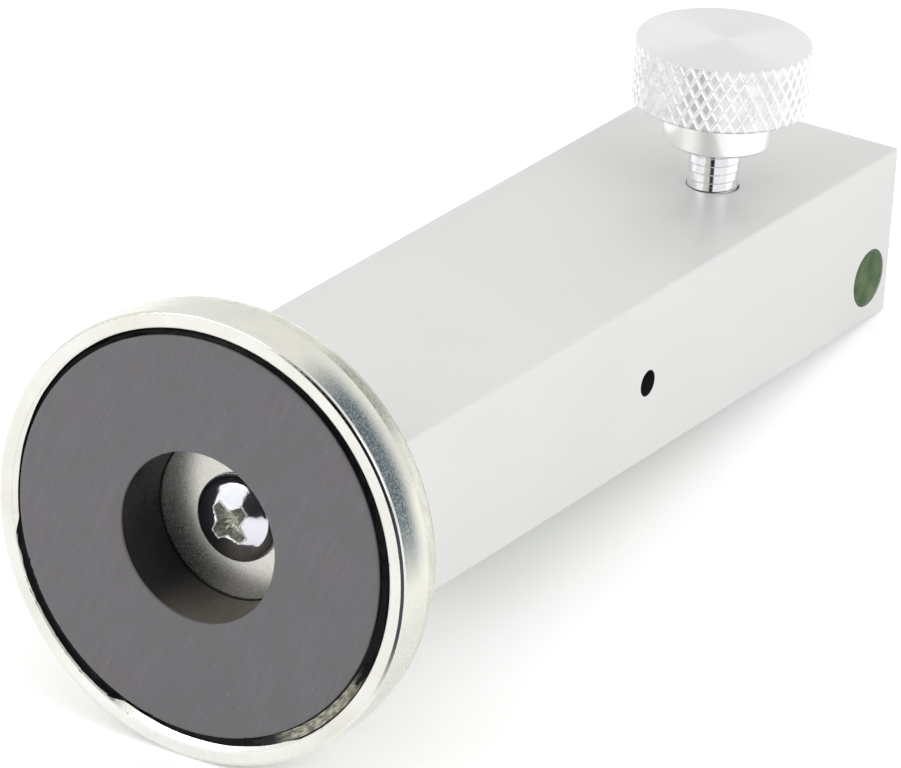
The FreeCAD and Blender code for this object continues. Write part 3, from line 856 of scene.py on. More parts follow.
class Draft:
    """A mesh being drawn in millimetres, in a piece's own frame."""

    def __init__(self) -> None:
        """Start with nothing drawn."""
        self.points: list[Vector] = []
        self.faces: list[tuple[int, ...]] = []
        self.coats: list[int] = []

    def face(self, *corners: int, coat: int = 0) -> None:
        """Add a face by its corners' numbers, with the number of its finish."""
        self.faces.append(corners)
        self.coats.append(coat)

    def add(self, other: "Draft", coat: Optional[int] = None) -> "Draft":
        """Take in another draft, with its own finishes or one for all its faces.

        Args:
            other: The draft to take in.
            coat: The number of the finish for all its faces, or nothing to keep its own.

        Returns:
            This draft.
        """
        start = len(self.points)
        self.points += other.points
        for corners, own in zip(other.faces, other.coats):
            self.face(*(start + corner for corner in corners), coat=own if coat is None else coat)
        return self

    def moved(self, matrix: Matrix) -> "Draft":
        """Move all the points by a matrix in millimetres."""
        self.points = [matrix @ point for point in self.points]
        return self

    def mesh(self, name: str) -> bpy.types.Mesh:
        """Make the mesh in metres, with its faces turned outwards.

        Args:
            name: The mesh's name.

        Returns:
            The mesh.
        """
        mesh = bpy.data.meshes.new(name)
        mesh.from_pydata([point * MM for point in self.points], [], self.faces)
        mesh.polygons.foreach_set("material_index", self.coats)
        work = bmesh.new()
        work.from_mesh(mesh)
        bmesh.ops.remove_doubles(work, verts=work.verts, dist=1e-7)
        bmesh.ops.recalc_face_normals(work, faces=work.faces)
        work.to_mesh(mesh)
        work.free()
        return mesh


def on_circle(radius: float, angle: float, height: float) -> Vector:
    """A point at a radius from the Z axis, an angle about it and a height along it."""
    return Vector((radius * math.cos(angle), radius * math.sin(angle), height))


def softened(corners: Sequence[tuple[float, float, float]], steps: int = 4) -> list[tuple[float, float]]:
    """Round the corners of a closed outline.

    Args:
        corners: Each corner's radius from the axis, height, and rounding.
        steps: How many edges each rounding gets.

    Returns:
        The outline's points in order.
    """
    outline = []
    for number, (radius, height, rounding) in enumerate(corners):
        here = Vector((radius, height))
        before = Vector(corners[number - 1][:2]) - here
        after = Vector(corners[(number + 1) % len(corners)][:2]) - here
        if not rounding:
            outline.append((radius, height))
            continue
        half = before.angle(after) / 2
        reach = rounding / math.tan(half)
        first = here + before.normalized() * reach
        last = here + after.normalized() * reach
        inward = (before.normalized() + after.normalized()).normalized()
        centre = here + inward * (rounding / math.sin(half))
        for step in range(steps + 1):
            arm = (first - centre).slerp(last - centre, step / steps).normalized()
            outline.append(tuple(centre + arm * rounding))
    return outline


def revolved(
    outline: Outline, steps: int, shift: Optional[Shift] = None, coats: Optional[Sequence[int]] = None
) -> Draft:
    """Turn a closed outline about the Z axis.

    Args:
        outline: Points as radius from the axis and height.
        steps: How many steps make the circle.
        shift: Gives what to add to a point's radius and height, from its angle and number.
        coats: The number of the finish for the face that starts at each point.

    Returns:
        The turned draft.
    """
    draft = Draft()
    count = len(outline)
    for step in range(steps):
        angle = TAU * step / steps
        for number, (radius, height) in enumerate(outline):
            more, up = shift(angle, number) if shift else (0.0, 0.0)
            reach = max(radius + more, 0.0) if radius else 0.0
            draft.points.append(on_circle(reach, angle, height + up))
    for step in range(steps):
        here, there = step * count, (step + 1) % steps * count
        for number in range(count):
            after = (number + 1) % count
            if outline[number][0] or outline[after][0]:
                coat = coats[number] if coats else 0
                ring = [here + number, there + number, there + after, here + after]
                if not outline[number][0]:
                    ring.pop(1)
                elif not outline[after][0]:
                    ring.pop(2)
                draft.face(*ring, coat=coat)
    return draft


def block(low: Sequence[float], high: Sequence[float], bevel: float = 0.0, steps: int = 2) -> Draft:
    """A box between two corners with its edges rounded.

    Args:
        low: The lowest corner.
        high: The highest corner.
        bevel: The width of the rounding.
        steps: How many edges each rounding gets.

    Returns:
        The box's draft.
    """
    work = bmesh.new()
    bmesh.ops.create_cube(work, size=1.0)
    low, high = Vector(low), Vector(high)
    for vertex in work.verts:
        vertex.co = Vector(a + (b - a) * (c + 0.5) for a, b, c in zip(low, high, vertex.co))
    if bevel:
        bmesh.ops.bevel(
            work,
            geom=work.edges[:] + work.verts[:],
            offset=bevel,
            offset_type="OFFSET",
            segments=steps,
            profile=0.5,
            affect="EDGES",
        )
    draft = Draft()
    work.verts.index_update()
    draft.points = [vertex.co.copy() for vertex in work.verts]
    for face in work.faces:
        draft.face(*(vertex.index for vertex in face.verts))
    work.free()
    return draft


def tube_along(path: Sequence[Vector], radius: float, sides: int = 12) -> Draft:
    """A round wire along a path, closed at both ends.

    Args:
        path: The points of the wire's centre line.
        radius: The wire's radius.
        sides: How many sides the wire has.

    Returns:
        The wire's draft.
    """
    draft = Draft()
    for number, point in enumerate(path):
        way = (path[min(number + 1, len(path) - 1)] - path[max(number - 1, 0)]).normalized()
        outward = Vector((point.x, point.y, 0)).normalized()
        side = way.cross(outward).normalized()
        outward = side.cross(way)
        for turn in range(sides):
            angle = TAU * turn / sides
            draft.points.append(point + (outward * math.cos(angle) + side * math.sin(angle)) * radius)
    for number in range(len(path) - 1):
        for turn in range(sides):
            after = (turn + 1) % sides
            here, there = number * sides, (number + 1) * sides
            draft.face(here + turn, here + after, there + after, there + turn)
    draft.face(*range(sides))
    draft.face(*(len(draft.points) - sides + turn for turn in range(sides)))
    return draft


def in_scene(name: str, data: bpy.types.ID) -> bpy.types.Object:
    """Make an object of a mesh, a text, a lamp or a camera, and link it to the scene.

    Args:
        name: The object's name.
        data: What it shows.

    Returns:
        The object.
    """
    made = bpy.data.objects.new(name, data)
    bpy.context.scene.collection.objects.link(made)
    return made


@dataclass
class Piece:
    """One visible piece: its mesh, its finishes, what carries it and what it stands for."""

    name: str
    draft: Draft
    finishes: Sequence[Finish]
    body: str
    slot: str
    replaces: Sequence[str] = ()
    place: Matrix = field(default_factory=Matrix)
    smooth_below: float = math.radians(32)

    def plain(self) -> bpy.types.Object:
        """Make the object without putting it on a body.

        Returns:
            The object.
        """
        mesh = self.draft.mesh(self.name)
        for finish in self.finishes:
            mesh.materials.append(finish.material())
        made = in_scene(self.name, mesh)
        made.matrix_world = Matrix.Translation(self.place.translation * MM) @ self.place.to_3x3().to_4x4()
        return made

    def shaded(self, made: bpy.types.Object) -> None:
        """Smooth the faces, but for the edges that are sharp.

        Args:
            made: The object.
        """
        mesh = made.data
        mesh.polygons.foreach_set("use_smooth", [True] * len(mesh.polygons))
        mesh.set_sharp_from_angle(angle=self.smooth_below)

    def seated(self, made: bpy.types.Object) -> bpy.types.Object:
        """Put the object on its body, and hide the solids it stands in for.

        Args:
            made: The object.

        Returns:
            The same object.
        """
        self.shaded(made)
        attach(made, self.body)
        if self.replaces:
            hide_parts(*self.replaces)
        log.info("%s: %d faces on %s", self.name, len(made.data.polygons), self.body)
        return made

    def build(self) -> bpy.types.Object:
        """Make the object and put it on its body."""
        return self.seated(self.plain())


def worked(target: bpy.types.Object, joinery: Joinery, *tools: Draft) -> bpy.types.Object:
    """Work solids into an object, one after the other.

    Args:
        target: The object whose mesh changes.
        joinery: Whether the tools are added, taken out or shared.
        tools: The tools' drafts, in the object's own frame.

    Returns:
        The object.
    """
    for draft in tools:
        mesh = draft.mesh("tool")
        for finish in target.data.materials:
            mesh.materials.append(finish)
        tool = in_scene("tool", mesh)
        tool.matrix_world = target.matrix_world
        step = target.modifiers.new("work", "BOOLEAN")
        step.operation = joinery.value
        step.solver = "EXACT"
        step.object = tool
        settle(target)
        bpy.data.objects.remove(tool)
        bpy.data.meshes.remove(mesh)
    return target


def settle(target: bpy.types.Object) -> None:
    """Apply an object's modifiers to its mesh.

    Args:
        target: The object.
    """
    bpy.context.view_layer.update()
    graph = bpy.context.evaluated_depsgraph_get()
    old = target.data
    target.data = bpy.data.meshes.new_from_object(target.evaluated_get(graph))
    target.modifiers.clear()
    target.data.name = target.name
    if not old.users:
        bpy.data.meshes.remove(old)


def at(x: float, y: float, z: float, axis: Axis = Axis.Z, spin: float = 0.0) -> Matrix:
    """The place of a piece, in millimetres, with its own Z axis on an axis and spun about it."""
    return Matrix.Translation((x, y, z)) @ axis.turn() @ Matrix.Rotation(spin, 4, "Z")


def eased(table: Sequence[tuple[float, float]], place: float) -> float:
    """Read a table of places and values, easing from each value to the next.

    Args:
        table: Pairs in order of place. The first and last places are one turn apart.
        place: Where to read.

    Returns:
        The eased value.
    """
    first, last = table[0][0], table[-1][0]
    place = first + (place - first) % (last - first)
    for (low, start), (high, end) in zip(table, table[1:]):
        if place <= high:
            share = (place - low) / (high - low)
            return start + (end - start) * share * share * (3 - 2 * share)
    return table[-1][1]


# Sub-assemblies


def clock_angle(angle: float) -> float:
    """Turn an angle about +X, from +Y, into degrees on a clock that faces the magnet."""
    return (math.degrees(angle) - 90) % 360


@dataclass
class Nicks:
    """Small knocks round an edge, each at an angle, with a half width and a depth."""

    count: int
    widths: tuple[float, float]
    depths: tuple[float, float]
    seed: int
    places: list[tuple[float, float, float]] = field(default_factory=list)

    def __post_init__(self) -> None:
        """Draw the knocks."""
        draw = random.Random(self.seed)
        for _ in range(self.count):
            place = draw.uniform(0, TAU)
            self.places.append((place, draw.uniform(*self.widths), draw.uniform(*self.depths)))

    def depth(self, angle: float) -> float:
        """How deep the edge is knocked in.

        Args:
            angle: Where round the edge.

        Returns:
            The depth in millimetres.
        """
        total = 0.0
        for place, width, depth in self.places:
            off = abs((angle - place + math.pi) % TAU - math.pi) / width
            if off < 3:
                total = max(total, depth * math.exp(-off * off * 2))
        return total


class Coat(Enum):
    """The order of the finishes on the magnet's cup."""

    RIM = 0
    WALL = 1
    SHOULDER = 2
    FLOOR = 3
    INSIDE = 4
    LIP = 5


@dataclass
class PotMagnet:
    """The pot magnet: plated cup, ground ferrite ring, cast bond and the screw that holds it."""

    cup_radius: float = 25.0
    cup_depth: float = 10.0
    wall: float = 1.73
    floor: float = 7.8
    lip: float = 0.36
    # How far down the wall the plate is rubbed bright
    wear_and_painted_light: float = 0.5
    inner_lip: float = 0.24
    bond_room: float = 1.6
    ridge: float = 0.2
    step: float = 0.2
    back_round: float = 4.8
    screw_hole: float = 2.75
    hole_round: float = 0.15
    floor_round: float = 0.6
    # How far behind the rim its knocks fade away
    knock_reach: float = 0.35
    ferrite_radius: float = 22.17
    ferrite_bore: float = 9.48
    ferrite_shift: tuple[float, float] = (0.22, 0.25)
    ferrite_base: float = 7.5
    ferrite_edge: float = 0.1
    steps: int = 900
    # How far the bond lies below the rim, in millimetres, by degrees on a clock facing the magnet
    bond_depths: tuple[tuple[float, float], ...] = (
        (0, 0.55),
        (60, 0.6),
        (108, 0.8),
        (122, 0.4),
        (145, 0.4),
        (160, 0.65),
        (200, 0.75),
        (211, 0.3),
        (254, 0.28),
        (264, 0.7),
        (300, 0.7),
        (330, 0.55),
        (360, 0.55),
    )
    smear_clock: tuple[float, float] = (116.0, 157.0)
    # The bead of bond squeezed out under the ferrite, into its bore
    bead: float = 0.13
    # How wide the coined lead-in inside the rim stands clear of the bond, by the same clock
    lead_in_widths: tuple[tuple[float, float], ...] = (
        (0, 0.0),
        (142, 0.0),
        (150, 0.32),
        (165, 0.46),
        (180, 0.58),
        (200, 0.68),
        (207, 0.0),
        (255, 0.0),
        (261, 0.5),
        (272, 0.5),
        (285, 0.42),
        (300, 0.24),
        (318, 0.08),
        (330, 0.0),
        (360, 0.0),
    )
    lead_in_slope: float = 0.57

    def build(self) -> None:
        """Build the cup, the ferrite, the bond and the screw."""
        self.cup()
        self.lead_in()
        self.ferrite()
        self.bond()
        self.squeezed()
        self.screw()

    def cup(self) -> None:
        """Press the cup, with knocks along both edges of its rim."""
        inside = self.cup_radius - self.wall
        shoulder = self.cup_depth - self.back_round
        corners = [
            (self.screw_hole, self.floor, self.hole_round),
            (inside, self.floor, self.floor_round),
            (inside, 0.0, self.inner_lip),
            (self.cup_radius, 0.0, self.lip),
            (self.cup_radius, self.wear_and_painted_light, 0.0),
            (self.cup_radius, shoulder - self.ridge, self.ridge),
            (self.cup_radius - self.step, shoulder, 0.0),
            (self.cup_radius - self.step, self.cup_depth, self.back_round - self.ridge),
            (self.screw_hole, self.cup_depth, self.hole_round),
        ]
        outline = softened(corners, 6)
        coats = []
        for (radius, height), (far, low) in zip(outline, outline[1:] + outline[:1]):
            coats.append(self.coat((radius + far) / 2, (height + low) / 2).value)
        inner = Nicks(14, (0.006, 0.02), (0.02, 0.09), 4)
        outer = Nicks(14, (0.01, 0.035), (0.01, 0.05), 9)

        def knocked(angle: float, number: int) -> tuple[float, float]:
            """Push the rim in where it was knocked.

            Args:
                angle: The angle about the cup's axis.
                number: The outline's point.

            Returns:
                What to add to the point's radius and height.
            """
            radius, height = outline[number]
            near_rim = max(0.0, 1 - height / self.knock_reach)
            if not near_rim:
                return (0.0, 0.0)
            if radius < inside + 0.2:
                dent = inner.depth(angle) * near_rim
                return (dent, dent * 0.4)
            dent = outer.depth(angle) * near_rim
            return (-dent, dent * 0.5)

        Piece(
            "magnet_cup_shell",
            revolved(outline, self.steps, knocked, coats),
            [Stock.CUP, Stock.WALL, Stock.SHOULDER, Stock.FLOOR, Stock.INSIDE, Stock.LIP],
            "bar",
            "zinc_plated_steel",
            ["magnet_cup"],
            at(0, 0, 0, Axis.X),
        ).build()

    def lead_in(self) -> None:
        """Coin the lead-in inside the rim, where the bond leaves it bare."""
        inside = self.cup_radius - self.wall
        top, spare = 0.07, 0.06
        outline = [
            (inside + spare, top),
            (inside, top),
            (inside, top + self.bond_room),
            (inside + spare, top + self.bond_room),
        ]

        def coined(angle: float, number: int) -> tuple[float, float]:
            """Widen the lead-in where the bond leaves it bare.

            Args:
                angle: The angle about the cup's axis.
                number: The outline's point.

            Returns:
                What to add to the point's radius and height.
            """
            width = eased(self.lead_in_widths, clock_angle(angle))
            if number == 0 or number == 3:
                return (0.0, 0.0)
            return (spare / 2 - width, self.lead_in_slope * width if number == 1 else 0.0)

        Piece(
            "magnet_cup_lead_in",
            revolved(outline, self.steps, coined),
            [Stock.CUP],
            "bar",
            "zinc_plated_steel",
            place=at(0, 0, 0, Axis.X),
        ).build()

    def coat(self, radius: float, height: float) -> Coat:
        """Tell which finish the cup has at a place on its skin.

        Args:
            radius: How far the place is from the cup's axis.
            height: How far it is behind the rim.

        Returns:
            The finish.
        """
        inside = self.cup_radius - self.wall
        if radius < inside + 0.01 and height < self.floor + 0.1:
            return Coat.INSIDE if radius > inside - 0.01 else Coat.FLOOR
        if height > self.cup_depth - self.back_round - self.ridge / 2:
            return Coat.SHOULDER
        if radius > self.cup_radius - self.lip * 0.12:
            return Coat.WALL if height > self.wear_and_painted_light else Coat.RIM
        if radius > self.cup_radius - self.lip:
            return Coat.LIP
        return Coat.INSIDE if radius < inside + self.inner_lip * 0.5 else Coat.RIM

    def ferrite(self) -> None:
        """Grind the ferrite ring, with small chips along its two front edges."""
        edge = self.ferrite_edge
        coats = [1, 0, 0, 0, 0, 0, 0, 0, 0, 0, 1, 1]
        outline = [
            (self.ferrite_bore, self.ferrite_base),
            (self.ferrite_bore, edge * 3),
            (self.ferrite_bore, edge),
            (self.ferrite_bore + edge * 0.4, edge * 0.3),
            (self.ferrite_bore + edge, 0.0),
            (self.ferrite_bore + edge * 6, 0.0),
            (self.ferrite_radius - edge * 6, 0.0),
            (self.ferrite_radius - edge, 0.0),
            (self.ferrite_radius - edge * 0.4, edge * 0.3),
            (self.ferrite_radius, edge),
            (self.ferrite_radius, edge * 3),
            (self.ferrite_radius, self.ferrite_base),
        ]
        bore = Nicks(26, (0.008, 0.03), (0.02, 0.09), 21)
        rim = Nicks(60, (0.003, 0.012), (0.02, 0.16), 22)
        # Which way each point moves when it is chipped: its edge, then the shares along and down
        sides = {2: (1, 0, 1), 3: (1, 0.5, 0.5), 4: (1, 1, 0)}
        sides |= {7: (-1, 1, 0), 8: (-1, 0.5, 0.5), 9: (-1, 0, 1)}

        def chipped(angle: float, number: int) -> tuple[float, float]:
            """Chip the ferrite's front edges.

            Args:
                angle: The angle about the ferrite's axis.
                number: The outline's point.

            Returns:
                What to add to the point's radius and height.
            """
            if number not in sides:
                return (0.0, 0.0)
            way, along, down = sides[number]
            chip = (bore if way > 0 else rim).depth(angle)
            return (way * along * chip, down * chip)

        Piece(
            "ferrite_magnet",
            revolved(outline, self.steps, chipped, coats),
            [Stock.FERRITE, Stock.SKIN],
            "bar",
            "ferrite",
            ["ferrite_ring"],
            at(0, *self.ferrite_shift, Axis.X),
        ).build()

    def bond(self) -> None:
        """Cast the bond between the ferrite and the cup, with its uneven skin."""
        draft = Draft()
        inside = self.cup_radius - self.wall
        across = 8
        draw = random.Random(31)
        waves = [(draw.randint(9, 70), draw.uniform(0, TAU), draw.uniform(0.01, 0.045)) for _ in range(14)]
        rows = across + 3
        centre = Vector((*self.ferrite_shift, 0))
        low_clock, high_clock = self.smear_clock
        for step in range(self.steps):
            angle = TAU * step / self.steps
            way = Vector((math.cos(angle), math.sin(angle), 0))
            outer = way * inside
            inner = centre + way * self.ferrite_radius
            clock = clock_angle(angle)
            depth = eased(self.bond_depths, clock)
            ripple = sum(size * math.sin(number * angle + phase) for number, phase, size in waves)
            for number in range(across + 1):
                share = number / across
                sag = 0.22 * math.sin(math.pi * share) - 0.12 * share
                fine = ripple * (0.4 + 0.6 * math.sin(3.1 * share + 5 * angle))
                point = inner.lerp(outer, share)
                draft.points.append(Vector((point.x, point.y, max(depth + sag + fine, 0.12))))
            draft.points.append(Vector((outer.x, outer.y, self.ferrite_base)))
            draft.points.append(Vector((inner.x, inner.y, self.ferrite_base)))
            there = (step + 1) % self.steps * rows
            here = step * rows
            for number in range(rows):
                after = (number + 1) % rows
                smeared = low_clock < clock + 3 * math.sin(9 * angle + number) < high_clock
                coat = 1 if smeared and 1 <= number < across - 1 else 0
                draft.face(here + number, there + number, there + after, here + after, coat=coat)
        Piece(
            "magnet_bond",
            draft,
            [Stock.RESIN, Stock.RESIN_SMEAR],
            "bar",
            "magnet_adhesive",
            ["bonding_ring"],
            at(0, 0, 0, Axis.X),
        ).build()

    def squeezed(self) -> None:
        """Leave the thin black bead that was squeezed out at the foot of the bore."""
        outline = []
        for number in range(10):
            angle = -TAU * number / 10
            outline.append((self.ferrite_bore + self.bead * math.cos(angle), self.bead * math.sin(angle)))
        Piece(
            "magnet_bond_bead",
            revolved(outline, 240),
            [Stock.RESIN],
            "bar",
            "magnet_adhesive",
            place=at(self.floor - self.bead, *self.ferrite_shift, Axis.X),
        ).build()

    def screw(self) -> None:
        """Form the pan head with its cross recess, and the shank behind it."""
        PanHeadScrew().build()


@dataclass
class PanHeadScrew:
    """The pan head screw in the middle of the magnet."""

    apex: float = 5.7
    seat: float = 7.8
    head_radius: float = 4.9
    flat_radius: float = 3.7
    dome_radius: float = 9.0
    foot: float = 0.1
    shank_radius: float = 2.5
    shank_end: float = 23.8
    point: float = 0.5
    # The recess at its mouth and its foot: depth, reach of an arm, half its root and half its tip
    recess_mouth: tuple[float, float, float, float] = (0.3, 2.42, 0.98, 0.55)
    recess_foot: tuple[float, float, float, float] = (1.2, 1.55, 0.58, 0.32)
    recess_point: float = 0.45
    recess_turn: float = math.radians(43.7)
    edge: float = 0.05
    burr_sizes: tuple[float, float] = (0.05, 0.12)
    burr_parts: int = 7
    burr_sides: int = 8

    def build(self) -> None:
        """Turn the blank, punch the recess and ease its edges."""
        height = self.seat - self.apex
        rows = 10
        outline = [(0.0, 0.0)]
        for row in range(1, rows + 1):
            radius = self.flat_radius * row / rows
            outline.append((radius, self.dome_radius - math.sqrt(self.dome_radius**2 - radius**2)))
        lean = math.asin(self.flat_radius / self.dome_radius)
        brim = (self.head_radius - self.flat_radius) / (1 - math.sin(lean))
        sag = outline[-1][1]
        # The brim's arc is flattened so that it ends upright just above the seat
        flatten = (height - self.foot - sag) / (brim * math.cos(lean))
        for row in range(1, rows + 1):
            angle = lean + (math.pi / 2 - lean) * row / rows
            drop = brim * (math.cos(lean) - math.cos(angle)) * flatten
            outline.append((self.head_radius - brim + brim * math.sin(angle), sag + drop))
        outline += [
            (self.head_radius - self.foot * 0.5, height),
            (self.shank_radius, height),
            (self.shank_radius, self.shank_end - self.apex - self.point),
            (self.shank_radius - self.point, self.shank_end - self.apex),
            (0.0, self.shank_end - self.apex),
        ]
        piece = Piece(
            "magnet_pan_screw",
            revolved(outline, 128),
            [Stock.SCREW, Stock.RECESS],
            "bar",
            "nickel_plated_screw",
            ["magnet_screw"],
            at(self.apex, 0, 0, Axis.X, self.recess_turn),
            smooth_below=math.radians(38),
        )
        made = worked(piece.plain(), Joinery.TAKE_OUT, self.cross())
        easing = made.modifiers.new("eased_edges", "BEVEL")
        easing.width = self.edge * MM
        easing.segments = 2
        easing.limit_method = "ANGLE"
        easing.angle_limit = math.radians(38)
        easing.use_clamp_overlap = True
        settle(made)
        piece.seated(made)
        Piece(
            "magnet_pan_screw_burr",
            self.burr(),
            [Stock.BURR],
            "bar",
            "nickel_plated_screw",
            place=at(self.apex, 0, 0, Axis.X, self.recess_turn),
            smooth_below=math.radians(75),
        ).build()

    def cross_at(self, depth: float) -> list[Vector]:
        """The corners of the recess at one depth.

        Args:
            depth: The depth below the head's apex.

        Returns:
            The corners in order round the cross.
        """
        mouth, foot = self.recess_mouth, self.recess_foot
        share = (depth - mouth[0]) / (foot[0] - mouth[0])
        reach, root, tip = (a + (b - a) * share for a, b in zip(mouth[1:], foot[1:]))
        corners = []
        for quarter in range(4):
            turn = Matrix.Rotation(-quarter * math.pi / 2, 3, "Z")
            for x, y in ((reach, tip), (reach, -tip), (root, -root)):
                corners.append(turn @ Vector((x, y, 0)))
        return corners

    def cross(self) -> Draft:
        """The punch: a cross that narrows to its foot, with a blunt point.

        Returns:
            The punch's draft.
        """
        draft = Draft()
        above, foot = -0.6, self.recess_foot[0]
        for depth in (above, foot):
            draft.points += [corner + Vector((0, 0, depth)) for corner in self.cross_at(depth)]
        corners = len(draft.points) // 2
        draft.points.append(Vector((0, 0, foot + self.recess_point)))
        for number in range(corners):
            after = (number + 1) % corners
            draft.face(number, after, after + corners, number + corners, coat=1)
            draft.face(number + corners, after + corners, corners * 2, coat=1)
        draft.face(*range(corners))
        return draft

    def burr(self) -> Draft:
        """The metal that the punch raised round the recess: a bead that swells and thins.

        Returns:
            The bead's draft.
        """
        draft = Draft()
        draw = random.Random(12)
        corners = self.cross_at(self.recess_mouth[0])
        path = []
        for here, after in zip(corners, corners[1:] + corners[:1]):
            path += [here.lerp(after, part / self.burr_parts) for part in range(self.burr_parts)]
        sides = self.burr_sides
        for number, point in enumerate(path):
            way = (path[(number + 1) % len(path)] - path[number - 1]).normalized()
            aside = Vector((way.y, -way.x, 0))
            size = draw.uniform(*self.burr_sizes)
            sag = self.dome_radius - math.sqrt(self.dome_radius**2 - point.length_squared)
            middle = Vector((point.x, point.y, sag))
            for side in range(sides):
                angle = TAU * side / sides
                arm = aside * math.cos(angle) + Vector((0, 0, math.sin(angle)))
                draft.points.append(middle + arm * size)
        count = len(path)
        for number in range(count):
            here, there = number * sides, (number + 1) % count * sides
            for side in range(sides):
                after = (side + 1) % sides
                draft.face(here + side, here + after, there + after, there + side)
        return draft


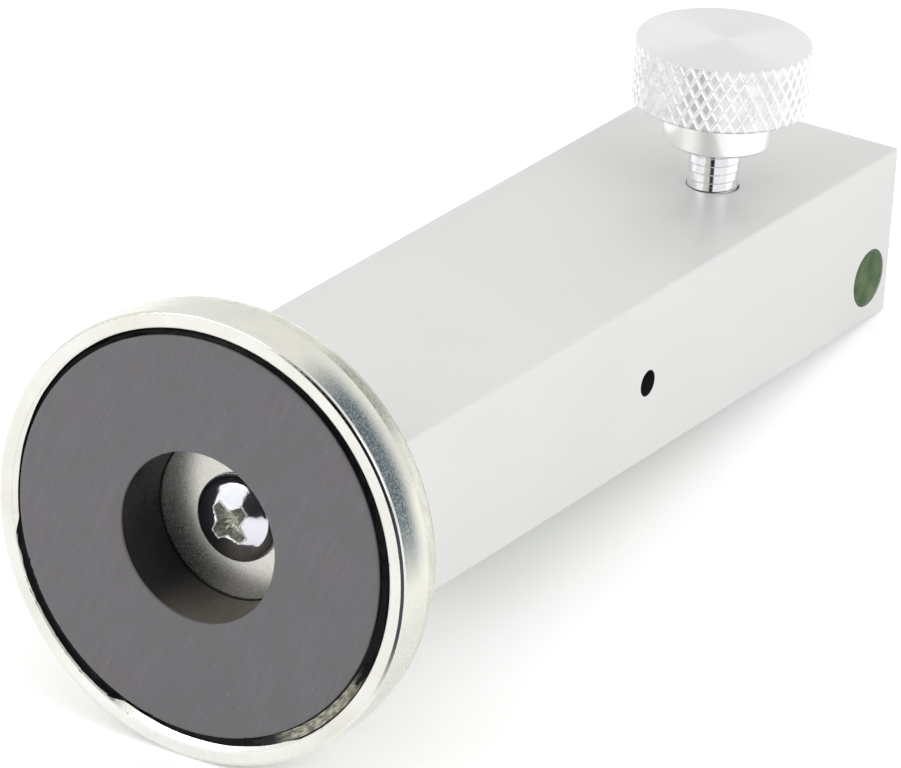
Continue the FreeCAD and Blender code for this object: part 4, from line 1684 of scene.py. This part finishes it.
@dataclass
class ThumbScrew:
    """The thumb screw: knurled knob, threaded stud and the tip that stays still."""

    x: float = 100.4
    y: float = -3.9
    shoulder_z: float = 15.4
    shoulder_radius: float = 6.15
    shoulder_height: float = 4.5
    grip_radius: float = 10.0
    grip_height: float = 7.6
    grip_bevel: float = 0.32
    teeth: int = 46
    helix: float = math.radians(30)
    crest_share: float = 0.62
    groove_depth: float = 0.24
    stud_radius: float = 2.95
    stud_end: float = 5.6
    stud_chamfer: float = 0.37
    # How far the stud reaches up into the knob
    stud_held: float = 2.2
    pitch: float = 1.0
    thread_depth: float = 0.17
    # The share of the pitch that the flank facing the knob takes
    upper_flank: float = 0.8
    profile_steps: int = 10
    spigot_radius: float = 1.25
    spigot_length: float = 1.2
    tip_radius: float = 2.4
    tip_low: float = 3.2
    tip_high: float = 5.55
    tip_dome: float = 4.0

    def build(self) -> None:
        """Build the knob, the stud and the tip."""
        self.knob()
        self.stud()
        self.tip()

    def knob(self) -> None:
        """Turn the knob, then roll the knurl into its grip."""
        low, high = self.shoulder_height, self.shoulder_height + self.grip_height
        bevel = self.grip_bevel
        spare = 0.03
        wide = self.grip_radius + spare
        corners = [
            (0.0, low, 0.0),
            (wide - bevel, low, 0.1),
            (wide, low + bevel, 0.1),
            (wide, high - bevel, 0.1),
            (wide - bevel, high, 0.12),
            (0.0, high, 0.0),
        ]
        grip = Piece(
            "thumb_knob_grip",
            revolved(softened(corners, 3), 184),
            [Stock.KNOB, Stock.KNURL, Stock.FLANK],
            "knob",
            "turned_knob_metal",
            ["thumb_knob"],
            at(self.x, self.y, self.shoulder_z),
            smooth_below=math.radians(20),
        )
        made = worked(grip.plain(), Joinery.KEEP_SHARED, self.knurl(low - 2, high + 2))
        grip.seated(made)

        shoulder_corners = [
            (self.stud_radius + 0.02, 0.0, 0.0),
            (self.shoulder_radius - 0.3, 0.0, 0.08),
            (self.shoulder_radius, 0.3, 0.08),
            (self.shoulder_radius, low - 0.25, 0.0),
            (self.shoulder_radius, low + 0.02, 0.0),
            (self.stud_radius + 0.02, low + 0.02, 0.0),
        ]
        Piece(
            "thumb_knob_shoulder",
            revolved(softened(shoulder_corners, 3), 160),
            [Stock.NECK],
            "knob",
            "turned_knob_metal",
            place=at(self.x, self.y, self.shoulder_z),
        ).build()

    def knurl(self, low: float, high: float) -> Draft:
        """A sleeve of flat-topped diamonds, longer than the grip.

        Args:
            low: The height that the sleeve has to start below.
            high: The height that it has to end above.

        Returns:
            The closed sleeve, with the knurl's finish on its side.
        """
        draft = Draft()
        across = TAU / self.teeth
        rise = self.grip_radius * across / math.tan(self.helix)
        rows = math.ceil((high - low) / (rise / 2)) + 1
        root = self.grip_radius - self.groove_depth
        crossings: dict[tuple[int, int], int] = {}

        def spot(angle: float, height: float, radius: float) -> int:
            """Add a point to the sleeve and give its number."""
            draft.points.append(on_circle(radius, angle, height))
            return len(draft.points) - 1

        def crossing(column: int, row: int) -> int:
            """Find where two grooves cross, or make it the first time.

            Args:
                column: Half teeth round the sleeve.
                row: Half diamonds up it.

            Returns:
                The point's number.
            """
            key = (column % (2 * self.teeth), row)
            if key not in crossings:
                crossings[key] = spot(key[0] * across / 2, low + row * rise / 2, root)
            return crossings[key]

        for row in range(1, rows):
            for tooth in range(self.teeth):
                column = 2 * tooth + (row + 1) % 2
                angle, height = column * across / 2, low + row * rise / 2
                around = [
                    crossing(column + 1, row),
                    crossing(column, row + 1),
                    crossing(column - 1, row),
                    crossing(column, row - 1),
                ]
                reach, climb = across / 2 * self.crest_share, rise / 2 * self.crest_share
                crest = [
                    spot(angle + reach, height, self.grip_radius),
                    spot(angle, height + climb, self.grip_radius),
                    spot(angle - reach, height, self.grip_radius),
                    spot(angle, height - climb, self.grip_radius),
                ]
                draft.face(*crest, coat=1)
                for side in range(4):
                    after = (side + 1) % 4
                    draft.face(around[side], around[after], crest[after], crest[side], coat=2)
        for row, end in ((0, low), (rows, low + rows * rise / 2)):
            inner = row + 1 if row == 0 else row - 1
            edge = [crossing(c, row if (c + row) % 2 == 1 else inner) for c in range(2 * self.teeth)]
            middle = spot(0.0, end, 0.0)
            for number, corner in enumerate(edge):
                draft.face(corner, edge[(number + 1) % len(edge)], middle, coat=1)
        return draft

    def stud(self) -> None:
        """Roll the thread as one right-handed helix, with a plain spigot under it."""
        profile = []
        for number in range(self.profile_steps):
            share = number / self.profile_steps
            sunk = self.thread_depth * min(share / self.upper_flank, (1 - share) / (1 - self.upper_flank))
            profile.append((self.pitch * share, self.stud_radius - sunk))
        steps = 64
        low, high = self.stud_end, self.shoulder_z + self.stud_held
        start = low - 2 * self.pitch
        turns = math.ceil((high - low) / self.pitch) + 4
        piece = Piece(
            "thumb_stud_thread",
            self.thread_solid(profile, start, turns, steps),
            [Stock.THREAD],
            "knob",
            "thread_steel",
            ["thumb_stud"],
            at(self.x, self.y, 0),
            smooth_below=math.radians(40),
        )
        edge, lead = self.stud_radius + 0.02, self.stud_chamfer
        cut = [(0.0, low), (edge - lead, low), (edge, low + lead), (edge, high), (0.0, high)]
        blank = revolved(cut, 128)
        made = worked(piece.plain(), Joinery.KEEP_SHARED, blank)
        foot, root = low - self.spigot_length, low + 0.4
        spigot_corners = [
            (0.0, foot, 0.0),
            (self.spigot_radius, foot, 0.15),
            (self.spigot_radius, root, 0.0),
            (0.0, root, 0.0),
        ]
        spigot = revolved(softened(spigot_corners, 2), 48)
        worked(made, Joinery.ADD, spigot)
        piece.seated(made)

    def thread_solid(self, profile: Outline, start: float, turns: int, steps: int) -> Draft:
        """A closed threaded rod.

        Args:
            profile: Height along one pitch, and radius.
            start: The height where the helix starts.
            turns: How many turns it has.
            steps: How many steps make one turn.

        Returns:
            The rod's draft.
        """
        draft = Draft()
        size = len(profile)
        total = turns * steps
        for step in range(total + 1):
            angle = TAU * step / steps
            climb = start + self.pitch * step / steps
            for offset, radius in profile:
                draft.points.append(on_circle(radius, angle, climb + offset))
        for step in range(total):
            here, there = step * size, (step + 1) * size
            for number in range(size - 1):
                draft.face(here + number, there + number, there + number + 1, here + number + 1)
            above = (step + steps) * size
            if step + steps <= total - 1:
                draft.face(here + size - 1, there + size - 1, above + size, above)
        bottom, top = len(draft.points), len(draft.points) + 1
        draft.points.append(Vector((0, 0, start - self.pitch)))
        draft.points.append(Vector((0, 0, start + (turns + 1) * self.pitch)))
        for step in range(steps):
            here, there = step * size, (step + 1) * size
            draft.face(here, there, bottom)
            last = (total - steps + step) * size + size - 1
            draft.face(last, last + size, top)
        for number in range(size - 1):
            draft.face(number, number + 1, bottom)
            end = total * size
            draft.face(end + number, end + number + 1, top)
        draft.face(size - 1, steps * size, bottom)
        draft.face((total - steps) * size + size - 1, total * size, top)
        return draft

    def tip(self) -> None:
        """Turn the domed brass tip with its socket."""
        rows = 8
        outline = [(0.0, self.tip_low)]
        for row in range(1, rows + 1):
            radius = self.tip_radius * row / rows
            outline.append((radius, self.tip_low + self.tip_dome - math.sqrt(self.tip_dome**2 - radius**2)))
        socket = self.spigot_radius + 0.05
        floor = self.stud_end - self.spigot_length - 0.05
        outline += [
            (self.tip_radius, self.tip_high - 0.15),
            (self.tip_radius - 0.15, self.tip_high),
            (socket, self.tip_high),
            (socket, floor),
            (0.0, floor),
        ]
        Piece(
            "screw_tip_dome",
            revolved(outline, 72),
            [Stock.BRASS],
            "tip",
            "tip_brass",
            ["screw_tip"],
            at(self.x, self.y, 0),
        ).build()


@dataclass
class TiltingCradle:
    """The cradle that carries the caster vial, with its pivot pin and return spring."""

    x_low: float = 42.0
    x_high: float = 104.4
    y_low: float = -8.7
    y_high: float = 0.9
    beam_low: float = -2.4
    beam_high: float = 3.1
    trough_x: tuple[float, float] = (50.25, 85.75)
    trough_low: float = -7.0
    vial_radius: float = 3.25
    vial_x: tuple[float, float] = (51.45, 84.55)
    vial_z: float = -5.75
    pivot_x: float = 68.0
    pivot_z: float = -0.6
    pin_radius: float = 1.5
    pin_y: tuple[float, float] = (-13.2, 5.8)
    spring_x: float = 47.6
    spring_seat: float = 2.1
    spring_ceiling: float = 7.2
    spring_radius: float = 2.1
    spring_room: float = 2.7
    wire_radius: float = 0.25
    turns: int = 4
    edge: float = 0.25
    pin_chamfer: float = 0.3
    # The room left round the pin and at the spring's ends
    slack: float = 0.05

    def build(self) -> None:
        """Build the cradle, the pin and the spring."""
        self.cradle()
        self.pin()
        self.spring()

    def cradle(self) -> None:
        """Mill the cradle with eased edges, then bore it."""
        middle = (self.y_low + self.y_high) / 2
        beam = block(
            (self.x_low, self.y_low, self.beam_low), (self.x_high, self.y_high, self.beam_high), self.edge
        )
        trough = block(
            (self.trough_x[0], self.y_low, self.trough_low),
            (self.trough_x[1], self.y_high, self.pivot_z),
            self.edge,
        )
        piece = Piece(
            "caster_cradle_beam",
            beam,
            [Stock.CRADLE],
            "cradle",
            "cradle_aluminium",
            ["caster_cradle"],
            smooth_below=math.radians(40),
        )
        made = worked(piece.plain(), Joinery.ADD, trough)
        low, high = self.vial_x
        bore = revolved(self.rod(self.vial_radius, high - low), 96).moved(
            at(low, middle, self.vial_z, Axis.X)
        )
        width = self.y_high - self.y_low
        pin_bore = revolved(self.rod(self.pin_radius + self.slack, width + 2), 48).moved(
            at(self.pivot_x, self.y_low - 1, self.pivot_z, Axis.Y)
        )
        seat = revolved(self.rod(self.spring_room, 3), 64).moved(
            at(self.spring_x, middle, self.spring_seat)
        )
        worked(made, Joinery.TAKE_OUT, bore, pin_bore, seat)
        piece.seated(made)

    @staticmethod
    def rod(radius: float, length: float) -> list[tuple[float, float]]:
        """The outline of a plain rod."""
        return [(0.0, 0.0), (radius, 0.0), (radius, length), (0.0, length)]

    def pin(self) -> None:
        """Turn the pivot pin with chamfered ends."""
        length = self.pin_y[1] - self.pin_y[0]
        chamfer, radius = self.pin_chamfer, self.pin_radius
        outline = [
            (0.0, 0.0),
            (radius - chamfer, 0.0),
            (radius, chamfer),
            (radius, length - chamfer),
            (radius - chamfer, length),
            (0.0, length),
        ]
        Piece(
            "pivot_pin_rod",
            revolved(outline, 64),
            [Stock.PIN],
            "bar",
            "pin_steel",
            ["pivot_pin"],
            at(self.pivot_x, self.pin_y[0], self.pivot_z, Axis.Y),
        ).build()

    def spring(self) -> None:
        """Coil the spring between the bar and the cradle."""
        middle = (self.y_low + self.y_high) / 2
        low = self.spring_seat + self.wire_radius + self.slack
        high = self.spring_ceiling - self.wire_radius - self.slack
        steps = 36 * self.turns
        path = []
        for step in range(steps + 1):
            share = step / steps
            angle = TAU * self.turns * share
            path.append(on_circle(self.spring_radius, angle, low + (high - low) * share))
        piece = Piece(
            "return_spring_coil",
            tube_along(path, self.wire_radius).moved(Matrix.Translation((self.spring_x, middle, 0))),
            [Stock.SPRING],
            "bar",
            "spring_steel",
            smooth_below=math.radians(60),
        )
        made = piece.plain()
        piece.shaded(made)
        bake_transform(made)
        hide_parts("return_spring")
        log.info("%s: %d faces between bar and cradle", made.name, len(made.data.polygons))


@dataclass
class SpiritVial:
    """A spirit vial: glass tube with a white enamel back, dyed spirit, plug and graduation rings."""

    label: str
    body: str
    radius: float
    length: float
    start: tuple[float, float, float]
    axis: Axis
    plug_first: bool
    lines: tuple[float, ...]
    end: Finish = Stock.GLASS
    end_rim: Finish = Stock.GLASS
    wall: float = 0.8
    closed_end: float = 1.2
    edge: float = 0.25
    line_width: float = 0.16
    line_reach: float = math.radians(62)
    # The bubble's half length along the tube, its half width as an angle, and how thick its sheet is
    bubble_reach: float = 4.1
    bubble_turn: float = math.radians(33)
    bubble_sheet: tuple[float, float] = (-0.06, 0.012)

    def build(self) -> None:
        """Draw the tube, its bubble and its graduation lines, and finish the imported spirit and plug."""
        self.tube()
        self.bubble()
        self.graduations()
        Dresser.dress(f"{self.label}_liquid", Stock.SPIRIT)
        Dresser.dress(f"{self.label}_plug", Stock.PLUG)

    def tube(self) -> None:
        """Draw the tube with one closed end, fire polished, and enamel its far side."""
        inside = self.radius - self.wall
        hollow = self.length - self.closed_end
        corners = [
            (inside, 0.0, 0.1),
            (self.radius, 0.0, self.edge),
            (self.radius, self.length, self.edge),
            (0.0, self.length, 0.0),
            (0.0, hollow, 0.0),
            (inside, hollow, 0.0),
        ]
        draft = revolved(softened(corners, 3), 96)
        if not self.plug_first:
            draft.moved(Matrix.Translation((0, 0, self.length)) @ Matrix.Rotation(math.pi, 4, "X"))
        turn = self.axis.turn()
        coats = []
        for corners_of_face in draft.faces:
            centre = sum((draft.points[c] for c in corners_of_face), Vector()) / len(corners_of_face)
            outer = math.hypot(centre.x, centre.y) > self.radius - 0.02
            up = (turn @ Vector((centre.x, centre.y, 0))).z / self.radius
            at_end = abs(centre.z - (0.0 if not self.plug_first else self.length)) < self.edge
            if at_end:
                coats.append(3 if math.hypot(centre.x, centre.y) > self.radius - self.edge else 2)
            else:
                coats.append(1 if outer and up > 0.1 else 0)
        draft.coats = coats
        Piece(
            f"{self.label}_glass",
            draft,
            [Stock.VIAL_SIDE, Stock.ENAMEL, self.end, self.end_rim],
            self.body,
            "vial_glass",
            [f"{self.label}_tube"],
            at(*self.start, self.axis),
            smooth_below=math.radians(50),
        ).build()

    def down(self) -> float:
        """The angle, in the tube's own round, of the side that is read."""
        return {"X": -math.pi / 2, "Y": math.pi, "Z": 0.0}[self.axis.value]

    def bubble(self) -> None:
        """Lay the bubble's oval sheet in the skin of the glass, on the side that is read."""
        draft = Draft()
        around, rings = 48, (0.3, 0.6, 0.86, 1.0)
        middle, down = self.length / 2, self.down()
        for lift in self.bubble_sheet:
            radius = self.radius + lift
            draft.points.append(on_circle(radius, down, middle))
            for ring in rings:
                for step in range(around):
                    turn = TAU * step / around
                    angle = down + self.bubble_turn * ring * math.sin(turn)
                    along = middle + self.bubble_reach * ring * math.cos(turn)
                    draft.points.append(on_circle(radius, angle, along))
        sheet = 1 + around * len(rings)
        for step in range(around):
            after = (step + 1) % around
            for base, flip in ((0, 1), (sheet, -1)):
                draft.face(*(base, base + 1 + step, base + 1 + after)[::flip])
                for ring in range(len(rings) - 1):
                    near, far = base + 1 + ring * around, base + 1 + (ring + 1) * around
                    coat = 1 if ring == len(rings) - 2 else 0
                    draft.face(*(near + step, far + step, far + after, near + after)[::flip], coat=coat)
            low, high = 1 + around * (len(rings) - 1), sheet + 1 + around * (len(rings) - 1)
            draft.face(low + step, high + step, high + after, low + after, coat=1)
        Piece(
            f"{self.label}_bubble",
            draft,
            [Stock.BUBBLE, Stock.BUBBLE_EDGE],
            self.body,
            "vial_glass",
            place=at(*self.start, self.axis),
        ).build()

    def graduations(self) -> None:
        """Print the graduation lines as arcs on the side that is read."""
        draft = Draft()
        middle = self.length / 2
        steps = 16
        down = self.down()
        for offset in self.lines:
            for step in range(steps):
                ends = []
                for share in (step / steps, (step + 1) / steps):
                    angle = down + self.line_reach * (2 * share - 1)
                    for height in (-self.line_width / 2, self.line_width / 2):
                        for radius in (self.radius + 0.004, self.radius + 0.02):
                            ends.append(on_circle(radius, angle, middle + offset + height))
                base = len(draft.points)
                draft.points += ends
                for a, b, c, d in ((0, 1, 5, 4), (2, 6, 7, 3), (1, 3, 7, 5), (0, 4, 6, 2)):
                    draft.face(base + a, base + b, base + c, base + d)
                if step == 0:
                    draft.face(base, base + 2, base + 3, base + 1)
                if step == steps - 1:
                    draft.face(base + 4, base + 5, base + 7, base + 6)
        Piece(
            f"{self.label}_lines",
            draft,
            [Stock.INK],
            self.body,
            "printed_strip",
            place=at(*self.start, self.axis),
        ).build()


class Dresser:
    """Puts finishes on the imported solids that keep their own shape."""

    nodes: dict[str, bpy.types.Object] = {}

    @classmethod
    def dress(cls, node: str, finish: Finish) -> None:
        """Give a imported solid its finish.

        Args:
            node: The solid's name.
            finish: The finish for all its faces.
        """
        solid = cls.nodes[node]
        solid.data.materials.clear()
        solid.data.materials.append(finish.material())
        log.info("%s: %s", node, finish.name)


@dataclass
class ScaleStrip:
    """A graduated strip in its seat beside a vial."""

    label: str
    x: tuple[float, float]
    y: tuple[float, float]
    per_degree: float
    span: int
    numbered_every: int
    face_z: float = -10.0
    thickness: float = 0.4
    sunk: float = 0.04
    ink: float = 0.03
    bevel: float = 0.08
    line: float = 0.16
    long_line: float = 1.15
    short_line: float = 0.7
    # How far the lines and the middle of the numbers lie from the side nearest the vial
    margin: float = 0.25
    number_at: float = 2.45
    digit_height: float = 1.25
    # A letter's nominal size is so many times the height of its figures
    size_per_height: float = 1.4

    def build(self) -> None:
        """Cut the plate and print its scale."""
        plate_low = (self.x[0], self.y[0], self.face_z + self.sunk)
        plate_high = (self.x[1], self.y[1], self.face_z + self.thickness)
        Piece(
            f"{self.label}_plate",
            block(plate_low, plate_high, self.bevel),
            [Stock.STRIP],
            "bar",
            "printed_strip",
            [self.label],
        ).build()
        inner_side = self.y[1] if self.y[1] < 0 else self.y[0]
        inward = 1 if self.y[1] < 0 else -1
        middle = sum(self.x) / 2
        draft = Draft()
        low, high = self.face_z + self.sunk - self.ink, self.face_z + self.sunk + 0.01
        for degree in range(-self.span, self.span + 1):
            long = degree % self.numbered_every == 0
            reach = self.long_line if long else self.short_line
            x = middle + degree * self.per_degree
            start, end = inner_side - inward * self.margin, inner_side - inward * (self.margin + reach)
            draft.add(
                block((x - self.line / 2, min(start, end), low), (x + self.line / 2, max(start, end), high))
            )
        Piece(f"{self.label}_ticks", draft, [Stock.INK], "bar", "printed_strip").build()
        for degree in range(-self.span, self.span + 1, self.numbered_every):
            x = middle + degree * self.per_degree
            self.digit(abs(degree), degree, x, inner_side - inward * self.number_at)

    def digit(self, number: int, degree: int, x: float, y: float) -> None:
        """Print a number, to be read with the caster vial above the camber vial.

        Args:
            number: The number to print.
            degree: Its place on the scale, which names the piece.
            x: The middle of the number along the bar.
            y: The middle of the number across the bar.
        """
        text = bpy.data.curves.new("number", "FONT")
        text.body = str(number)
        text.size = self.digit_height * self.size_per_height * MM
        text.align_x, text.align_y = "CENTER", "CENTER"
        text.extrude = self.ink / 2 * MM
        text.resolution_u = 3
        holder = in_scene("number", text)
        bpy.context.view_layer.update()
        graph = bpy.context.evaluated_depsgraph_get()
        mesh = bpy.data.meshes.new_from_object(holder.evaluated_get(graph))
        bpy.data.objects.remove(holder)
        side = f"{'low' if degree < 0 else 'high'}_{abs(degree)}"
        mesh.materials.clear()
        mesh.materials.append(Stock.INK.material())
        made = in_scene(f"{self.label}_number_{side}", mesh)
        flip = Matrix.Rotation(math.pi, 4, "X")
        level = (self.face_z + self.sunk - self.ink / 2) * MM
        made.matrix_world = Matrix.Translation((x * MM, y * MM, level)) @ flip
        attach(made, "bar")


@dataclass
class Studio:
    """The plain studio: pale floor, soft lamps, pale surroundings and the camera."""

    camera_place: tuple[float, float, float] = (-0.71506, -0.43287, 0.37742)
    camera_right: tuple[float, float, float] = (0.51555, -0.85427, 0.06648)
    camera_up: tuple[float, float, float] = (0.30609, 0.25608, 0.91691)
    camera_back: tuple[float, float, float] = (-0.80032, -0.45237, 0.39351)
    lens: float = 351.76
    sensor: float = 36.0
    rim_low: tuple[float, float] = (0.0, -0.025)
    bar_low: tuple[float, float] = (0.124, -0.010)
    floor_reach: float = 3.0
    floor_lift: float = 0.2
    paper: float = 0.92
    # Black cards beside the camera: place, width and height
    flags: tuple[tuple[tuple[float, float, float], float, float], ...] = (
        ((-0.93, -0.22, 0.34), 0.66, 1.0), ((-0.4945, -0.052, 0.052), 0.306, 0.249)
    )
    # Lamps: place, width, height and watts, each aimed at the gauge
    lamps: tuple[tuple[tuple[float, float, float], float, float, float], ...] = (
        ((-0.62, 0.42, 0.52), 0.5, 0.5, 2.0), ((-0.10, -0.95, 0.60), 0.7, 0.6, 3.7)
    )
    aim: tuple[float, float, float] = (0.05, 0.0, 0.0)

    def build(self) -> None:
        """Set the floor, the surroundings, the lamps and the camera."""
        bpy.context.scene.view_settings.view_transform = "Standard"
        self.floor()
        self.world()
        for number, (place, width, height) in enumerate(self.flags):
            self.flag(f"black_card_{number}", place, width, height)
        for number, (place, width, height, watts) in enumerate(self.lamps):
            self.lamp(f"softbox_{number}", place, width, height, watts)
        self.camera()

    @staticmethod
    def seen(tree: Tree) -> Socket:
        """Tell the rays that see the surroundings from those that carry their light.

        Args:
            tree: The node tree of the floor or of the world.

        Returns:
            One for what the camera sees, straight or in metal or glass, and zero for light.
        """
        seen = add_node(tree, "LightPath", out="Is Camera Ray")
        for kind in ("Is Glossy Ray", "Is Transmission Ray"):
            ray = add_node(tree, "LightPath", out=kind)
            seen = add_node(tree, "Math", {"Value": seen, "Value_001": ray}, operation="MAXIMUM")
        return seen

    def floor(self) -> None:
        """Lay the pale floor under the rim's lowest point and the bar's far edge."""
        (x0, z0), (x1, z1) = self.rim_low, self.bar_low
        tilt = math.atan2(z1 - z0, x1 - x0)
        gap = 0.00005
        mesh = bpy.data.meshes.new("studio_floor")
        reach = self.floor_reach
        corners = [(-reach, -reach, 0), (reach, -reach, 0), (reach, reach, 0), (-reach, reach, 0)]
        mesh.from_pydata(corners, [], [(0, 1, 2, 3)])
        floor = in_scene("studio_floor", mesh)
        floor.matrix_world = Matrix.Translation((x0, 0, z0 - gap)) @ Matrix.Rotation(-tilt, 4, "Y")
        material = bpy.data.materials.new("pale_floor")
        material.use_nodes = True
        tree = material.node_tree
        tree.nodes.clear()
        strength = add_node(
            tree, "Math", {"Value": self.seen(tree), "Value_001": self.floor_lift}, operation="MULTIPLY"
        )
        lifted = add_node(
            tree,
            "BsdfPrincipled",
            {
                "Base Color": linear("#F5F5F5"),
                "Roughness": 0.95,
                "Specular IOR Level": 0.0,
                "Emission Color": linear("#FFFFFF"),
                "Emission Strength": strength,
            },
        )
        below = add_node(tree, "NewGeometry", out="Backfacing")
        clear = add_node(tree, "BsdfTransparent")
        one_sided = add_node(tree, "MixShader", {"Fac": below})
        tree.links.new(lifted, one_sided.node.inputs[1])
        tree.links.new(clear, one_sided.node.inputs[2])
        add_node(tree, "OutputMaterial", {"Surface": one_sided})
        mesh.materials.append(material)

    def world(self) -> None:
        """Surround the gauge with white paper, a little greyer where it lights than where it is seen."""
        world = bpy.data.worlds.new("studio")
        bpy.context.scene.world = world
        world.use_nodes = True
        tree = world.node_tree
        tree.nodes.clear()
        level = add_node(tree, "MapRange", {"Value": self.seen(tree), "To Min": self.paper, "To Max": 1.0})
        white = add_node(tree, "Background", {"Color": linear("#FFFFFF"), "Strength": level})
        add_node(tree, "OutputWorld", {"Surface": white})

    def flag(self, name: str, place: tuple[float, float, float], width: float, height: float) -> None:
        """Stand a black card that the camera doesn't see and metal mirrors.

        Args:
            name: The card's name.
            place: Where its middle is, in metres.
            width: How wide it is.
            height: How high it is.
        """
        mesh = bpy.data.meshes.new(name)
        x, y = width / 2, height / 2
        mesh.from_pydata([(-x, -y, 0), (x, -y, 0), (x, y, 0), (-x, y, 0)], [], [(0, 1, 2, 3)])
        card = in_scene(name, mesh)
        turn = (Vector(self.aim) - Vector(place)).to_track_quat("-Z", "Y")
        card.matrix_world = Matrix.Translation(place) @ turn.to_matrix().to_4x4()
        card.visible_camera = False
        material = bpy.data.materials.new("black_card")
        material.use_nodes = True
        material.node_tree.nodes["Principled BSDF"].inputs["Base Color"].default_value = linear("#0E0E10")
        material.node_tree.nodes["Principled BSDF"].inputs["Roughness"].default_value = 0.9
        mesh.materials.append(material)

    def lamp(
        self, name: str, place: tuple[float, float, float], width: float, height: float, watts: float
    ) -> None:
        """Hang a softbox that faces the gauge.

        Args:
            name: The lamp's name.
            place: Where it hangs, in metres.
            width: How wide it is.
            height: How high it is.
            watts: Its power.
        """
        data = bpy.data.lights.new(name, "AREA")
        data.shape = "RECTANGLE"
        data.size, data.size_y = width, height
        data.energy = watts
        lamp = in_scene(name, data)
        lamp.location = place
        lamp.rotation_mode = "QUATERNION"
        lamp.rotation_quaternion = (Vector(self.aim) - Vector(place)).to_track_quat("-Z", "Y")

    def camera(self) -> None:
        """Stand the camera where the photograph was taken."""
        data = bpy.data.cameras.new("camera")
        data.lens, data.sensor_width, data.sensor_fit = self.lens, self.sensor, "HORIZONTAL"
        data.clip_start, data.clip_end = 0.01, 20
        camera = in_scene("camera", data)
        turn = Matrix([self.camera_right, self.camera_up, self.camera_back]).transposed().to_4x4()
        camera.matrix_world = Matrix.Translation(self.camera_place) @ turn
        bpy.context.scene.camera = camera


def main() -> None:
    """Load the frame, dress it, build each sub-assembly around it and set up the studio."""
    logging.basicConfig(level=logging.INFO, format="%(name)s: %(message)s")
    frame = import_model()
    Dresser.nodes = frame["nodes"]
    Dresser.dress("gauge_body", Stock.BAR)
    Dresser.dress("camber_bed", Stock.PLASTER)
    PotMagnet().build()
    ThumbScrew().build()
    TiltingCradle().build()
    SpiritVial(
        "caster_vial", "cradle", 3.2, 33.0, (51.5, -3.9, -5.75), Axis.X, True,
        (-10.0, -7.5, -5.0, 5.0, 7.5, 10.0),
    ).build()
    SpiritVial(
        "camber_vial", "bar", 3.2, 38.0, (49.0, 6.3, -5.9), Axis.X, True,
        (-12.0, -8.0, -4.4, 4.4, 8.0, 12.0),
    ).build()
    SpiritVial(
        "level_vial", "bar", 3.4, 24.0, (119.3, -14.9, -4.6), Axis.Y, False, (-4.6, 4.6),
        Stock.VIAL_END, Stock.VIAL_RIM,
    ).build()
    ScaleStrip("caster_strip", (46.0, 90.0), (-13.6, -10.0), 1.5, 12, 4).build()
    ScaleStrip("camber_strip", (49.0, 87.0), (10.7, 14.3), 4.0, 4, 1).build()
    Studio().build()


if __name__ == "__main__":
    main()
